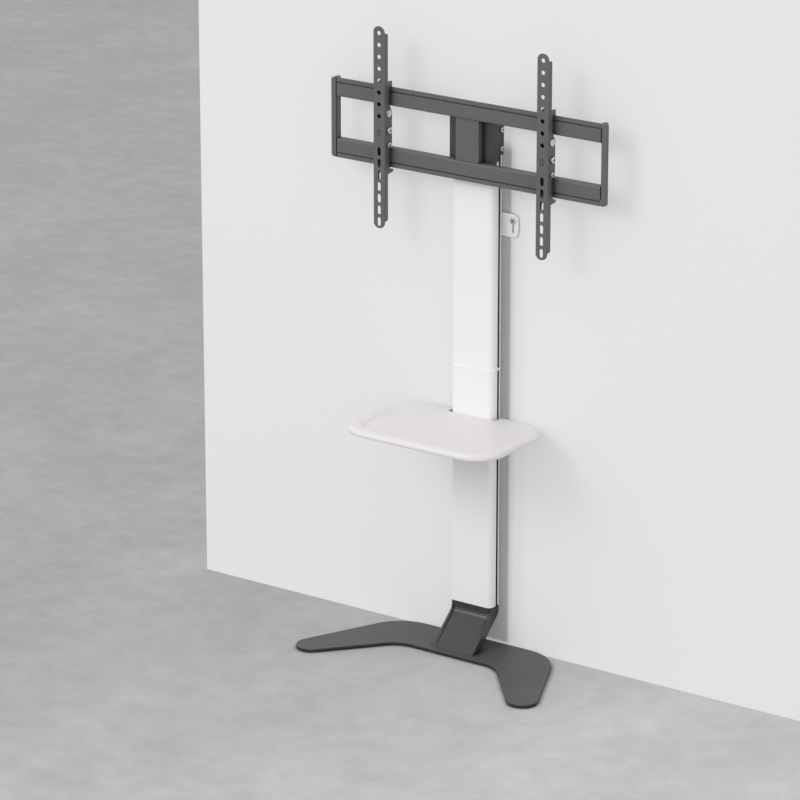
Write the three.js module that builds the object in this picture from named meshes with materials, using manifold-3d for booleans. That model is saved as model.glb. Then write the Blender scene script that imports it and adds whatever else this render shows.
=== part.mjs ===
// Free-standing floor stand for a flat screen: a steel foot with two forward legs,
// a sloping neck, a two-part aluminium column, a tray and a tilting screen mount.
// Millimetres, +Z up, the screen faces -Y. The floor is Z = 0.

import * as THREE from 'three';
import { mergeVertices } from 'three/addons/utils/BufferGeometryUtils.js';
import Module from 'manifold-3d';

const wasm = await Module();
wasm.setup();

// Clearances
const slideGap = 0.3;
const boltGap = 0.3;
const clampGap = 0.8;
const cutOverrun = 5;
const samePoint = 0.001;

// Foot plate, seen from above: each leg runs from its two corners to a round tip
const plateThickness = 6;
const plateRearY = 14;
const plateFrontY = -100.5;
const legOuterX = 194.5;
const legInnerX = 122.5;
const legTipX = 266.5;
const legTipY = -219;
const legTipRadius = 33;
const plateHeelRadius = 96;
const plateCrotchRadius = 70;
const plateEdgeRound = 0.8;

// Rubber pads under the foot plate
const padHeight = 2;
const padRadius = 11;
const padHeelX = 150;
const padInset = 30;

// Neck between foot plate and column, with a spigot inside the column
const neckFrontBottomY = -85;
const neckRearBottomY = -55;
const neckFrontBendZ = 74;
const neckRearBendZ = 74;
const neckTopZ = 92.5;
const neckLipHeight = 10.5;
const neckRibWidth = 9;
const neckRecess = 3;
const neckRecessFoot = 0.8;
const neckFrontBendRadius = 24;
const neckRearBendRadius = 16;
const neckWeb = 8;
const neckFootHeight = 13;
const neckHeadHeight = 19;
const neckEdgeRound = 0.6;
const spigotHeight = 90;
const neckScrewY = -63;
const neckScrewX = 26;
const neckScrewRadius = 3;
const neckScrewHeadRadius = 5.2;
const neckScrewHeadHeight = 2.8;
const neckScrewLength = 14;

// Column extrusion, seen from above
const columnWidth = 103;
const columnDepth = 33;
const columnFrontRadius = 11;
const columnRearRadius = 2.5;
const columnWall = 2.2;
const columnTopZ = 1160;
const grooveMouthFromFront = 20.5;
const grooveMouthWidth = 7.5;
const grooveInnerWidth = 13.6;
const grooveLip = 1.8;
const grooveDepth = 10.5;
const grooveRib = 1.6;
const linerWall = 0.9;

// Joint between the two column sections
const ringBottomZ = 616;
const ringHeight = 3.8;
const ringProud = 0.6;

// Tube inside the column at the joint, and the screws through the rear wall
const barWidth = 70;
const barDepth = 24;
const barWall = 3;
const jointBarHeight = 130;
const barScrewRadius = 3;
const barScrewHeadRadius = 5.5;
const barScrewHeadHeight = 2.6;
const jointScrewRise = 40;
const spigotScrewRise = 26;
const spigotScrewPitch = 40;

// Top cap of the column
const capPlate = 4;
const capPlugHeight = 12;
const capPlugWall = 2;

// Wall anchor behind the column
const anchorCentreZ = 928.3;
const anchorHeight = 49.5;
const anchorRightX = 90.5;
const anchorLeftX = -36;
const anchorThickness = 3;
const anchorPad = 1.8;
const anchorPadRightX = 44;
const anchorCornerRadius = 13;
const anchorInnerRadius = 4;
const anchorScrewPitch = 40;
const keyholeX = 77.5;
const wallScrewRise = 11.3;
const keyholeDrop = 15.3;
const wallScrewRadius = 1.7;
const wallScrewHeadRadius = 7;
const wallScrewHeadHeight = 2.6;
const wallScrewLength = 25;
const crossWidth = 1.8;
const crossLength = 8;
const crossDepth = 1.4;

// Tray
const trayTopZ = 512.2;
const trayHalfWidth = 187.5;
const trayFrontY = -241.5;
const trayRearY = 15;
const trayFrontRadius = 67;
const trayRearRadius = 80;
const trayThickness = 8.7;
const trayRimRise = 4.8;
const trayRimWidth = 36;
const trayRimSlope = 8;
const trayFlushY = -20;
const trayRaisedY = -130;
const trayLowerRound = 3;
const trayUpperHeight = 5;
const trayUpperReach = 8;
const trayRoundSteps = 3;
const trayNotchHalfWidth = 59.5;
const trayNotchRadius = 3;

// Tray bracket
const bracketSheet = 3;
const bracketDrop = 62;
const bracketHalfWidth = 72;
const bracketReach = 168;
const bracketTipDrop = 14;
const bracketRibX = 46;
const bracketFlangeReach = 31;
const bracketFlangeDrop = 6;
const traySeatGap = 0.3;
const trayScrewX = 61;
const trayScrewInset = 22;
const trayScrewRadius = 2.5;
const trayScrewHeadRadius = 5;
const trayScrewHeadHeight = 2.4;
const trayScrewLength = 8.5;
const trayScrewDepth = 7;
const shelfScrewDrop = 34;

// Clamp screws and tee nuts in the grooves
const clampScrewRadius = 2.5;
const clampScrewHeadRadius = 5.5;
const clampScrewHeadHeight = 3.4;
const clampSocketRadius = 2.6;
const clampSocketDepth = 2;
const teeNutEnd = 8;
const teeNutThickness = 4;

// Column clamp of the screen mount
const headDrop = 50;
const clampSheet = 3;
const clampRise = 48;
const clampDrop = 57;
const clampFlangeDrop = 32;
const clampFlangeStepDrop = 44;
const clampFlangeReach = 33;
const clampFlangeStepReach = 20;
const clampTailReach = 10;
const clampFlangeRadius = 5;
const clampUpperScrewRise = 21;
const clampLowerScrewDrop = 19;

// Hub channel between clamp and rails
const hubHalfWidth = 28.5;
const hubSheet = 2.5;
const hubHalfHeight = 72;
const hubLipWidth = 12;
const hubBendRadius = 3;

// Rails
const railStandOff = 24;
const railHalfLength = 323.4;
const railHeight = 40.6;
const railSpan = 171;
const railWall = 2.5;
const railFlangeDepth = 16.5;
const railBendRadius = 3.5;
const railLipHeight = 9;
const railGrooveWidth = 2.4;
const railGrooveDepth = 1.5;
const hubNotchGap = 0.6;

// End caps of the rails
const endCapWidth = 15;
const endCapGap = 0.3;
const endCapDepth = 15.5;
const endCapOuterDepth = 5.5;
const endCapInnerWidth = 6.5;
const endCapCornerRadius = 9;
const endCapEdgeRadius = 3.5;
const endCapLineWidth = 2.2;
const endCapLineDepth = 2.4;
const endCapPlugLength = 20;
const endCapPlugRoot = 3;
const endCapPlugDepth = 9;

// Screen arms
const holePitch = 25;
const holeRows = 17;
const roundHoleRows = 8;
const slotRows = 7;
const armRise = 1;
const armSpacing = 400;
const armStandOff = 23.5;
const armWidth = 28.5;
const armSheet = 2;
const armFlangeDepth = 12.5;
const armBendRadius = 2.2;
const armFlangeEndGap = 1;
const armFlangeCornerRadius = 5;
const armHoleRadius = 4.5;
const armSlotWidth = 8;
const armSlotLength = 18.5;
const earReach = 23.4;
const earRise = 9;
const earDrop = 71;
const earTaper = 6;
const arrowDrop = 9;
const arrowHeight = 15;
const arrowWidth = 13.5;
const arrowStemWidth = 6.8;
const arrowHeadHeight = 7;
const arrowLine = 1;
const arrowDepth = 0.5;

// Tilt pivot, lock bolt and stay bolt: one line behind the face of the arm
const boltLineDepth = 15.5;
const pivotRise = 30;
const lockDrop = 36;
const stayDrop = 67;
const tiltForward = THREE.MathUtils.degToRad(4);
const tiltBack = THREE.MathUtils.degToRad(3);
const tiltSpare = THREE.MathUtils.degToRad(0.5);
const pivotRadius = 3;
const pivotHeadRadius = 8.2;
const pivotHeadHeight = 2.4;
const pivotTailRadius = 5;
const pivotTailHeight = 2;
const lockRadius = 3;
const lockHeadRadius = 7;
const lockHeadHeight = 4.6;
const lockSocketRadius = 2.8;
const lockSocketDepth = 2.6;
const stayRadius = 2.5;
const stayHeadRadius = 5.6;
const stayHeadHeight = 2.8;
const nutHeight = 4;
const nutRim = 2.6;
const stayNutHeight = 3.4;
const stayTipLength = 1;

// Hook brackets
const hookSheet = 2.5;
const hookHalfWidth = 11.75;
const hookWebDepth = 9.5;
const hookTailDepth = 13;
const hookTopRise = 11.5;
const hookTopChamfer = 5;
const hookFingerThickness = 4.8;
const hookFingerDrop = 6.5;
const hookBulge = 7.3;
const hookBulgeSlant = 12;
const hookBulgeDrop = 0.8;
const hookWebRise = 80;
const hookWebDrop = 30;
const hookNeckDrop = 50;
const clawGap = 1.3;
const clawSlant = 3;
const clawReach = 11.8;
const clawTipDrop = 6.7;
const clawTipHeight = 5.5;
const clawRootDrop = 14.2;
const hookTailDrop = 28.5;
const hookTailWidth = 2.5;

// Facets of round shapes, and the rounding of screw heads
const round = 16;
const coarse = 10;
const bend = 4;
const hexagon = 6;
const headSteps = 2;
const neckSteps = 4;
const headRoundShare = 0.45;

// Planes and places worked out from the sizes above
const plateBottomZ = padHeight;
const plateTopZ = plateBottomZ + plateThickness;
const columnHalf = columnWidth / 2;
const columnFrontY = -columnDepth / 2;
const columnRearY = columnDepth / 2;
const grooveCentreY = columnFrontY + grooveMouthFromFront + grooveMouthWidth / 2;
const grooveFloorX = columnHalf - grooveDepth;
const ringTopZ = ringBottomZ + ringHeight;
const jointCentreZ = ringBottomZ + ringHeight / 2;
const barRearY = columnRearY - columnWall - slideGap;
const barFrontY = barRearY - barDepth;
const anchorFrontY = columnRearY + anchorPad;
const anchorRearY = anchorFrontY + anchorThickness;
const trayBottomZ = trayTopZ - trayThickness;
const bracketTopZ = trayBottomZ - traySeatGap;
const headCentreZ = columnTopZ - headDrop;
const clampInnerX = columnHalf + clampGap;
const clampOuterX = clampInnerX + clampSheet;
const clampInnerY = columnFrontY - clampGap;
const clampFrontY = clampInnerY - clampSheet;
const clampTopZ = headCentreZ + clampRise;
const clampBottomZ = headCentreZ - clampDrop;
const clampFlangeBottomZ = headCentreZ - clampFlangeDrop;
const clampFlangeStepZ = headCentreZ - clampFlangeStepDrop;
const railFrontY = columnFrontY - railStandOff;
const railBackY = railFrontY + railWall;
const hubFrontY = railBackY + slideGap;
const armFrontY = railFrontY - armStandOff;
const armHalf = armWidth / 2;
const armCentreZ = headCentreZ + armRise;
const topHoleZ = armCentreZ + holePitch * (holeRows - 1) / 2;
const bottomHoleZ = armCentreZ - holePitch * (holeRows - 1) / 2;
const pivotY = armFrontY + boltLineDepth;
const pivotZ = armCentreZ + pivotRise;
const wallScrewZ = anchorCentreZ + wallScrewRise;
const railTopZ = headCentreZ + railSpan / 2;
const railBottomZ = headCentreZ - railSpan / 2;
const windowTopZ = railTopZ - railHeight;
const windowBottomZ = railBottomZ + railHeight;
const endCapInnerX = railHalfLength + endCapGap;
const endCapOuterX = endCapInnerX + endCapWidth;

// The origin is on the floor under the middle of the stand's box
const frontReachY = legTipY - legTipRadius;
const rearReachY = anchorFrontY - slideGap + wallScrewLength;
const middleY = (frontReachY + rearReachY) / 2;

// Closed geometry to solid and back
function toSolid(geometry) {
  const bare = geometry.clone();
  bare.deleteAttribute('normal');
  bare.deleteAttribute('uv');
  const merged = mergeVertices(bare);
  const mesh = new wasm.Mesh({
    numProp: 3,
    vertProperties: new Float32Array(merged.attributes.position.array),
    triVerts: new Uint32Array(merged.index.array),
  });
  return new wasm.Manifold(mesh);
}

function toGeometry(solid) {
  const mesh = solid.getMesh();
  const geometry = new THREE.BufferGeometry();
  geometry.setAttribute('position', new THREE.BufferAttribute(mesh.vertProperties, 3));
  geometry.setIndex(new THREE.BufferAttribute(mesh.triVerts, 1));
  return geometry;
}

function join(...geometries) {
  const solids = geometries.map(toSolid);
  return toGeometry(solids.reduce((whole, next) => whole.add(next)));
}

function cut(geometry, ...tools) {
  const solids = tools.map(toSolid);
  return toGeometry(solids.reduce((left, tool) => left.subtract(tool), toSolid(geometry)));
}

function common(first, second) {
  return toGeometry(toSolid(first).intersect(toSolid(second)));
}

// Blocks, bars and extrusions
function box(x0, x1, y0, y1, z0, z1) {
  const geometry = new THREE.BoxGeometry(x1 - x0, y1 - y0, z1 - z0);
  return geometry.translate((x0 + x1) / 2, (y0 + y1) / 2, (z0 + z1) / 2);
}

function extrude(shape, depth, curveSegments) {
  return new THREE.ExtrudeGeometry(shape, { depth, curveSegments, bevelEnabled: false });
}

// A shape drawn in X and Y, raised from z0 to z1
function extrudeUp(shape, z0, z1, curveSegments = bend) {
  return extrude(shape, z1 - z0, curveSegments).translate(0, 0, z0);
}

// A shape drawn in X and Z, running from y0 to y1
function extrudeBack(shape, y0, y1, curveSegments = bend) {
  const geometry = extrude(shape, y1 - y0, curveSegments);
  return geometry.rotateX(Math.PI / 2).translate(0, y1, 0);
}

// A shape drawn in Y and Z, running from x0 to x1
function extrudeAcross(shape, x0, x1, curveSegments = bend) {
  const geometry = extrude(shape, x1 - x0, curveSegments);
  return geometry.rotateZ(Math.PI / 2).rotateY(Math.PI / 2).translate(x0, 0, 0);
}

// A round bar that starts at a point and runs along +X, +Y or +Z
function rod(axis, radius, length, x, y, z, facets = coarse) {
  const geometry = new THREE.CylinderGeometry(radius, radius, length, facets);
  geometry.translate(0, length / 2, 0);
  if (axis === 'x') {
    geometry.rotateZ(-Math.PI / 2);
  }
  if (axis === 'z') {
    geometry.rotateX(Math.PI / 2);
  }
  return geometry.translate(x, y, z);
}

// An outline through points [x, y, radius]; a corner without a radius is sharp
function roundedShape(points) {
  const shape = new THREE.Shape();
  points.forEach(([x, y, radius = 0], index) => {
    const corner = new THREE.Vector2(x, y);
    const previous = points[(index + points.length - 1) % points.length];
    const next = points[(index + 1) % points.length];
    const back = new THREE.Vector2(previous[0], previous[1]).sub(corner).normalize();
    const ahead = new THREE.Vector2(next[0], next[1]).sub(corner).normalize();
    const half = Math.acos(THREE.MathUtils.clamp(back.dot(ahead), -1, 1)) / 2;
    const start = corner.clone().addScaledVector(back, radius / Math.tan(half));
    if (index === 0) {
      shape.moveTo(start.x, start.y);
    } else {
      shape.lineTo(start.x, start.y);
    }
    if (radius > 0) {
      const end = corner.clone().addScaledVector(ahead, radius / Math.tan(half));
      const inward = back.clone().add(ahead).normalize();
      const centre = corner.clone().addScaledVector(inward, radius / Math.sin(half));
      const from = start.sub(centre).angle();
      const to = end.sub(centre).angle();
      shape.absarc(centre.x, centre.y, radius, from, to, back.cross(ahead) > 0);
    }
  });
  return shape;
}

function rectangle(x0, x1, y0, y1, radius = 0) {
  return roundedShape([[x0, y0, radius], [x1, y0, radius], [x1, y1, radius], [x0, y1, radius]]);
}

// An upright slot with round ends
function capsule(x, z0, z1, radius) {
  const shape = new THREE.Shape();
  shape.absarc(x, z1 - radius, radius, 0, Math.PI, false);
  shape.absarc(x, z0 + radius, radius, Math.PI, 2 * Math.PI, false);
  return shape;
}

function mirrored(points) {
  return points.map(([x, ...rest]) => [-x, ...rest]).reverse();
}

// A screw with its head's underside on the origin and its shank down -Z
function screw({ radius, length, headRadius, headHeight, socket, cross, facets = coarse }) {
  const dome = headHeight * headRoundShare;
  const profile = [
    new THREE.Vector2(0, -length),
    new THREE.Vector2(radius, -length),
    new THREE.Vector2(radius, 0),
    new THREE.Vector2(headRadius, 0),
  ];
  for (let step = 0; step <= headSteps; step += 1) {
    const turn = (step / headSteps) * Math.PI / 2;
    const x = headRadius - dome + dome * Math.cos(turn);
    profile.push(new THREE.Vector2(x, headHeight - dome + dome * Math.sin(turn)));
  }
  profile.push(new THREE.Vector2(0, headHeight));
  const body = new THREE.LatheGeometry(profile, facets).rotateX(Math.PI / 2);
  if (socket) {
    const bottom = headHeight - socket.depth;
    return cut(body, rod('z', socket.radius, socket.depth + cutOverrun, 0, 0, bottom, hexagon));
  }
  if (cross) {
    const bottom = headHeight - cross.depth;
    const top = headHeight + cutOverrun;
    const long = cross.length / 2;
    const thin = cross.width / 2;
    return cut(
      body,
      box(-long, long, -thin, thin, bottom, top),
      box(-thin, thin, -long, long, bottom, top),
    );
  }
  return body;
}

// Directions that a screw's head can face
const up = new THREE.Vector3(0, 0, 1);
const down = new THREE.Vector3(0, 0, -1);
const right = new THREE.Vector3(1, 0, 0);
const left = new THREE.Vector3(-1, 0, 0);
const front = new THREE.Vector3(0, -1, 0);
const rear = new THREE.Vector3(0, 1, 0);

function placed(geometry, facing, x, y, z) {
  const turn = new THREE.Quaternion().setFromUnitVectors(up, facing);
  return geometry.clone().applyQuaternion(turn).translate(x, y, z);
}

// Foot plate
function tangentToTip(x, y, side) {
  const reach = new THREE.Vector2(legTipX - x, legTipY - y);
  return reach.angle() + side * Math.asin(legTipRadius / reach.length());
}

function footPlateShape() {
  const from = tangentToTip(legOuterX, plateRearY, 1) + Math.PI / 2 - 2 * Math.PI;
  const to = tangentToTip(legInnerX, plateFrontY, -1) - Math.PI / 2 - 2 * Math.PI;
  const tip = [];
  for (let step = 0; step <= round; step += 2) {
    const angle = from + (to - from) * step / round;
    const x = legTipX + legTipRadius * Math.cos(angle);
    tip.push([x, legTipY + legTipRadius * Math.sin(angle)]);
  }
  const half = [
    [legOuterX, plateRearY, plateHeelRadius],
    ...tip,
    [legInnerX, plateFrontY, plateCrotchRadius],
  ];
  return roundedShape([...half, ...mirrored(half)]);
}

const neckScrewXs = [-neckScrewX, neckScrewX];

function basePlate() {
  const plate = new THREE.ExtrudeGeometry(footPlateShape(), {
    depth: plateThickness - 2 * plateEdgeRound,
    bevelThickness: plateEdgeRound,
    bevelSize: plateEdgeRound,
    bevelOffset: -plateEdgeRound,
    bevelSegments: 1,
    curveSegments: coarse,
  });
  plate.translate(0, 0, plateBottomZ + plateEdgeRound);
  const bores = neckScrewXs.flatMap((x) => {
    const low = plateBottomZ - cutOverrun;
    const pocket = neckScrewHeadHeight + boltGap + cutOverrun;
    const through = plateThickness + 2 * cutOverrun;
    return [
      rod('z', neckScrewRadius + boltGap, through, x, neckScrewY, low),
      rod('z', neckScrewHeadRadius + boltGap, pocket, x, neckScrewY, low, round),
    ];
  });
  return cut(plate, ...bores);
}

function footPad(x, y) {
  return rod('z', padRadius, padHeight, x, y, 0, round);
}

// Neck: level slices from the foot plate up to the column, whose corners it takes on
function neckSlope() {
  return (neckFrontBendZ - plateTopZ) / (columnFrontY - neckFrontBottomY);
}

// How far the face of a bend lies behind its sharp corner at a height
function bendInset(z, cornerZ, radius, slope) {
  const turn = Math.PI / 2 - Math.atan(slope);
  const startZ = cornerZ + radius * Math.tan(turn / 2);
  const endZ = startZ - radius * Math.sin(turn);
  if (z >= startZ || z <= endZ) {
    return 0;
  }
  const sharp = Math.max(0, cornerZ - z) / slope;
  return radius - Math.sqrt(radius * radius - (startZ - z) ** 2) - sharp;
}

function neckFrontAt(z) {
  const straight = columnFrontY - Math.max(0, neckFrontBendZ - z) / neckSlope();
  return straight - bendInset(z, neckFrontBendZ, neckFrontBendRadius, neckSlope());
}

function neckRearAt(z) {
  const slope = (neckRearBendZ - plateTopZ) / (columnRearY - neckRearBottomY);
  const straight = columnRearY - Math.max(0, neckRearBendZ - z) / slope;
  return straight - bendInset(z, neckRearBendZ, neckRearBendRadius, slope);
}

function neckSlice(z) {
  const grown = (z - plateTopZ) / (neckFrontBendZ - plateTopZ);
  const corner = THREE.MathUtils.lerp(neckEdgeRound, columnFrontRadius, Math.min(1, grown));
  const frontY = neckFrontAt(z);
  const rearY = neckRearAt(z);
  return roundedShape([
    [-columnHalf, frontY, corner],
    [columnHalf, frontY, corner],
    [columnHalf, rearY, columnRearRadius],
    [-columnHalf, rearY, columnRearRadius],
  ]).extractPoints(bend).shape.map(({ x, y }) => new THREE.Vector3(x, y, z));
}

// A closed body through level rings of equally many points, from the bottom up
function loft(rings) {
  const count = rings[0].length;
  const corners = rings.flat();
  const faces = [];
  for (let ring = 0; ring + 1 < rings.length; ring += 1) {
    for (let index = 0; index < count; index += 1) {
      const here = ring * count + index;
      const next = ring * count + (index + 1) % count;
      faces.push(here, next, next + count, here, next + count, here + count);
    }
  }
  const last = (rings.length - 1) * count;
  const flat = rings[0].map(({ x, y }) => new THREE.Vector2(x, y));
  for (const [a, b, c] of THREE.ShapeUtils.triangulateShape(flat, [])) {
    faces.push(a, c, b);
    faces.push(last + a, last + b, last + c);
  }
  const geometry = new THREE.BufferGeometry().setFromPoints(corners);
  return geometry.setIndex(faces);
}

function neckBody() {
  const heights = [plateTopZ];
  const turn = Math.PI / 2 - Math.atan(neckSlope());
  const top = neckFrontBendZ + neckFrontBendRadius * Math.tan(turn / 2);
  const bottom = top - neckFrontBendRadius * Math.sin(turn);
  for (let step = 0; step <= neckSteps; step += 1) {
    heights.push(THREE.MathUtils.lerp(bottom, top, step / neckSteps));
  }
  heights.push(neckTopZ);
  return loft(heights.map(neckSlice));
}

// The sunk field between the two ribs of the front
function neckFrontRecess() {
  const footY = neckFrontBottomY + neckRecessFoot;
  const bendY = columnFrontY + neckRecess;
  const lipZ = neckTopZ - neckLipHeight;
  const drop = neckRecess * (Math.hypot(1, neckSlope()) - neckSlope());
  return roundedShape([
    [footY - cutOverrun, plateTopZ - cutOverrun * neckSlope()],
    [bendY, neckFrontBendZ - drop, neckFrontBendRadius - neckRecess],
    [bendY, lipZ],
    [neckFrontBottomY - cutOverrun, lipZ],
    [neckFrontBottomY - cutOverrun, plateTopZ],
  ]);
}

function neckRearPocket() {
  const footZ = plateTopZ + neckFootHeight;
  const headZ = neckTopZ - neckHeadHeight;
  const slant = (neckRecess + neckWeb) * Math.SQRT2;
  const wallY = (z) => neckFrontBottomY + slant + (z - plateTopZ) / neckSlope();
  return roundedShape([
    [wallY(footZ), footZ, neckRecess],
    [columnRearY + cutOverrun, footZ],
    [columnRearY + cutOverrun, headZ],
    [wallY(headZ), headZ, neckRecess],
  ]);
}

function innerTube(z0, z1) {
  const half = barWidth / 2;
  const inner = half - barWall;
  return cut(
    box(-half, half, barFrontY, barRearY, z0, z1),
    box(-inner, inner, barFrontY + barWall, barRearY - barWall, z0 - cutOverrun, z1 + cutOverrun),
  );
}

function neck() {
  const inner = columnHalf - neckRibWidth;
  const bores = neckScrewXs.map((x) => {
    const depth = neckScrewLength + cutOverrun;
    return rod('z', neckScrewRadius + boltGap, depth, x, neckScrewY, neckScrewSeatZ() - cutOverrun);
  });
  const block = cut(
    neckBody(),
    extrudeAcross(neckFrontRecess(), -inner, inner, 2 * bend),
    extrudeAcross(neckRearPocket(), -inner, inner),
    ...bores,
  );
  const spigotTopZ = neckTopZ + spigotHeight;
  const spigot = cut(
    innerTube(neckTopZ - neckLipHeight, spigotTopZ),
    ...rearHoles(spigotScrewPlaces()),
  );
  return join(block, spigot);
}

function neckScrewSeatZ() {
  return plateBottomZ + neckScrewHeadHeight;
}

function neckScrew(x) {
  const geometry = screw({
    radius: neckScrewRadius,
    length: neckScrewLength,
    headRadius: neckScrewHeadRadius,
    headHeight: neckScrewHeadHeight,
    socket: { radius: neckScrewRadius, depth: neckScrewHeadHeight / 2 },
  });
  return placed(geometry, down, x, neckScrewY, neckScrewSeatZ());
}

// Column sections
function columnPlan(inset) {
  const side = columnHalf - inset;
  const frontRadius = columnFrontRadius - inset;
  const rearRadius = columnRearRadius - inset;
  return roundedShape([
    [-side, columnFrontY + inset, frontRadius],
    [side, columnFrontY + inset, frontRadius],
    [side, columnRearY - inset, rearRadius],
    [-side, columnRearY - inset, rearRadius],
  ]);
}

function sideGroove(side) {
  const mouth = grooveMouthWidth / 2;
  const inner = grooveInnerWidth / 2;
  const outsideX = columnHalf + cutOverrun;
  const lipX = columnHalf - grooveLip;
  const half = [
    [outsideX, mouth],
    [lipX, mouth],
    [lipX, inner],
    [grooveFloorX, inner],
  ];
  const points = [...half, ...half.map(([x, y]) => [x, -y]).reverse()];
  return roundedShape(points.map(([x, y]) => [side * x, grooveCentreY + y]));
}

function columnCavity() {
  const wide = columnHalf - columnWall;
  const narrow = grooveFloorX - grooveRib;
  const stepY = grooveCentreY - grooveInnerWidth / 2 - grooveRib;
  const half = [
    [wide, columnFrontY + columnWall, columnFrontRadius - columnWall],
    [wide, stepY],
    [narrow, stepY],
    [narrow, columnRearY - columnWall],
  ];
  return roundedShape([...half, ...mirrored(half)]);
}

function columnSection(z0, z1) {
  const low = z0 - cutOverrun;
  const high = z1 + cutOverrun;
  return cut(
    extrudeUp(columnPlan(0), z0, z1),
    extrudeUp(columnCavity(), low, high),
    extrudeUp(sideGroove(-1), low, high),
    extrudeUp(sideGroove(1), low, high),
  );
}

// Places [x, z] of the screws through the column's rear wall
function spigotScrewPlaces() {
  const low = neckTopZ + spigotScrewRise;
  return [[0, low], [0, low + spigotScrewPitch]];
}

function jointScrewPlaces() {
  return [[0, jointCentreZ - jointScrewRise], [0, jointCentreZ + jointScrewRise]];
}

function anchorScrewPlaces() {
  const middle = (anchorLeftX + anchorPadRightX) / 2;
  return [-1, 1].map((side) => [middle + side * anchorScrewPitch / 2, anchorCentreZ]);
}

function rearHoles(places) {
  const startY = barRearY - barWall - cutOverrun;
  const length = columnRearY + cutOverrun - startY;
  return places.map(([x, z]) => rod('y', barScrewRadius + boltGap, length, x, startY, z));
}

function columnLower() {
  const holes = rearHoles([...spigotScrewPlaces(), ...jointScrewPlaces()]);
  return cut(columnSection(neckTopZ, ringBottomZ), ...holes);
}

function columnUpper() {
  const holes = rearHoles([...jointScrewPlaces(), ...anchorScrewPlaces()]);
  return cut(columnSection(ringTopZ, columnTopZ), ...holes);
}

// Liner: a channel against the floor and flanks of each groove
function grooveLiner(side, z0, z1) {
  const outer = grooveInnerWidth / 2 - slideGap;
  const inner = outer - linerWall;
  const floorX = grooveFloorX + slideGap;
  const mouthX = columnHalf - grooveLip - slideGap;
  const half = [
    [floorX, outer],
    [mouthX, outer],
    [mouthX, inner],
    [floorX + linerWall, inner],
  ];
  const points = [...half, ...half.map(([x, y]) => [x, -y]).reverse()];
  return extrudeUp(roundedShape(points.map(([x, y]) => [side * x, grooveCentreY + y])), z0, z1);
}

function jointRing() {
  return cut(
    extrudeUp(columnPlan(-ringProud), ringBottomZ, ringTopZ),
    extrudeUp(columnCavity(), ringBottomZ - cutOverrun, ringTopZ + cutOverrun),
  );
}

function jointBar() {
  const tube = innerTube(jointCentreZ - jointBarHeight / 2, jointCentreZ + jointBarHeight / 2);
  return cut(tube, ...rearHoles(jointScrewPlaces()));
}

function rearScrew([x, z], seatY, length) {
  const geometry = screw({
    radius: barScrewRadius,
    length,
    headRadius: barScrewHeadRadius,
    headHeight: barScrewHeadHeight,
    socket: { radius: barScrewRadius, depth: barScrewHeadHeight / 2 },
  });
  return placed(geometry, rear, x, seatY, z);
}

function barScrew(place) {
  return rearScrew(place, columnRearY, columnRearY - barRearY + barWall);
}

function columnCap() {
  const half = grooveFloorX - grooveRib - slideGap;
  const inner = half - capPlugWall;
  const frontY = columnFrontY + columnWall + slideGap;
  const rearY = columnRearY - columnWall - slideGap;
  const bottom = columnTopZ - capPlugHeight;
  const plug = cut(
    box(-half, half, frontY, rearY, bottom, columnTopZ + capPlate / 2),
    box(-inner, inner, frontY + capPlugWall, rearY - capPlugWall, bottom - cutOverrun, columnTopZ),
  );
  return join(extrudeUp(columnPlan(0), columnTopZ, columnTopZ + capPlate), plug);
}

// Wall anchor: a plate with a pad against the column and a slot for the wall screw
function anchorOutline(rightX, radius) {
  const low = anchorCentreZ - anchorHeight / 2;
  const high = anchorCentreZ + anchorHeight / 2;
  return roundedShape([
    [anchorLeftX, low, anchorInnerRadius],
    [rightX, low, radius],
    [rightX, high, radius],
    [anchorLeftX, high, anchorInnerRadius],
  ]);
}

function wallAnchor() {
  const radius = wallScrewRadius + boltGap;
  const plate = extrudeBack(
    anchorOutline(anchorRightX, anchorCornerRadius),
    anchorFrontY,
    anchorRearY,
  );
  const pad = extrudeBack(
    anchorOutline(anchorPadRightX, anchorInnerRadius),
    columnRearY,
    anchorFrontY + anchorThickness / 2,
  );
  const slot = extrudeBack(
    capsule(keyholeX, anchorCentreZ - keyholeDrop, wallScrewZ + radius, radius),
    anchorFrontY - cutOverrun,
    anchorRearY + cutOverrun,
  );
  const holes = anchorScrewPlaces().flatMap(([x, z]) => {
    const through = anchorPad + anchorThickness + 2 * cutOverrun;
    const pocketY = anchorScrewSeatY() - boltGap;
    return [
      rod('y', barScrewRadius + boltGap, through, x, columnRearY - cutOverrun, z),
      rod('y', barScrewHeadRadius + boltGap, through, x, pocketY, z, round),
    ];
  });
  return cut(join(plate, pad), slot, ...holes);
}

function anchorScrewSeatY() {
  return anchorRearY - barScrewHeadHeight;
}

function anchorScrew(place) {
  return rearScrew(place, anchorScrewSeatY(), anchorScrewSeatY() - barRearY);
}

function wallScrew() {
  const geometry = screw({
    radius: wallScrewRadius,
    length: wallScrewLength,
    headRadius: wallScrewHeadRadius,
    headHeight: wallScrewHeadHeight,
    cross: { width: crossWidth, length: crossLength, depth: crossDepth },
    facets: round,
  });
  return placed(geometry, front, keyholeX, anchorFrontY - slideGap, wallScrewZ);
}

// Tray: a board with round corners, flush at the rear, whose rim rises to the front
function trayRim(y) {
  const reach = trayFlushY - trayRaisedY;
  return trayRimRise * THREE.MathUtils.smoothstep(trayFlushY - y, 0, reach);
}

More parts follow.
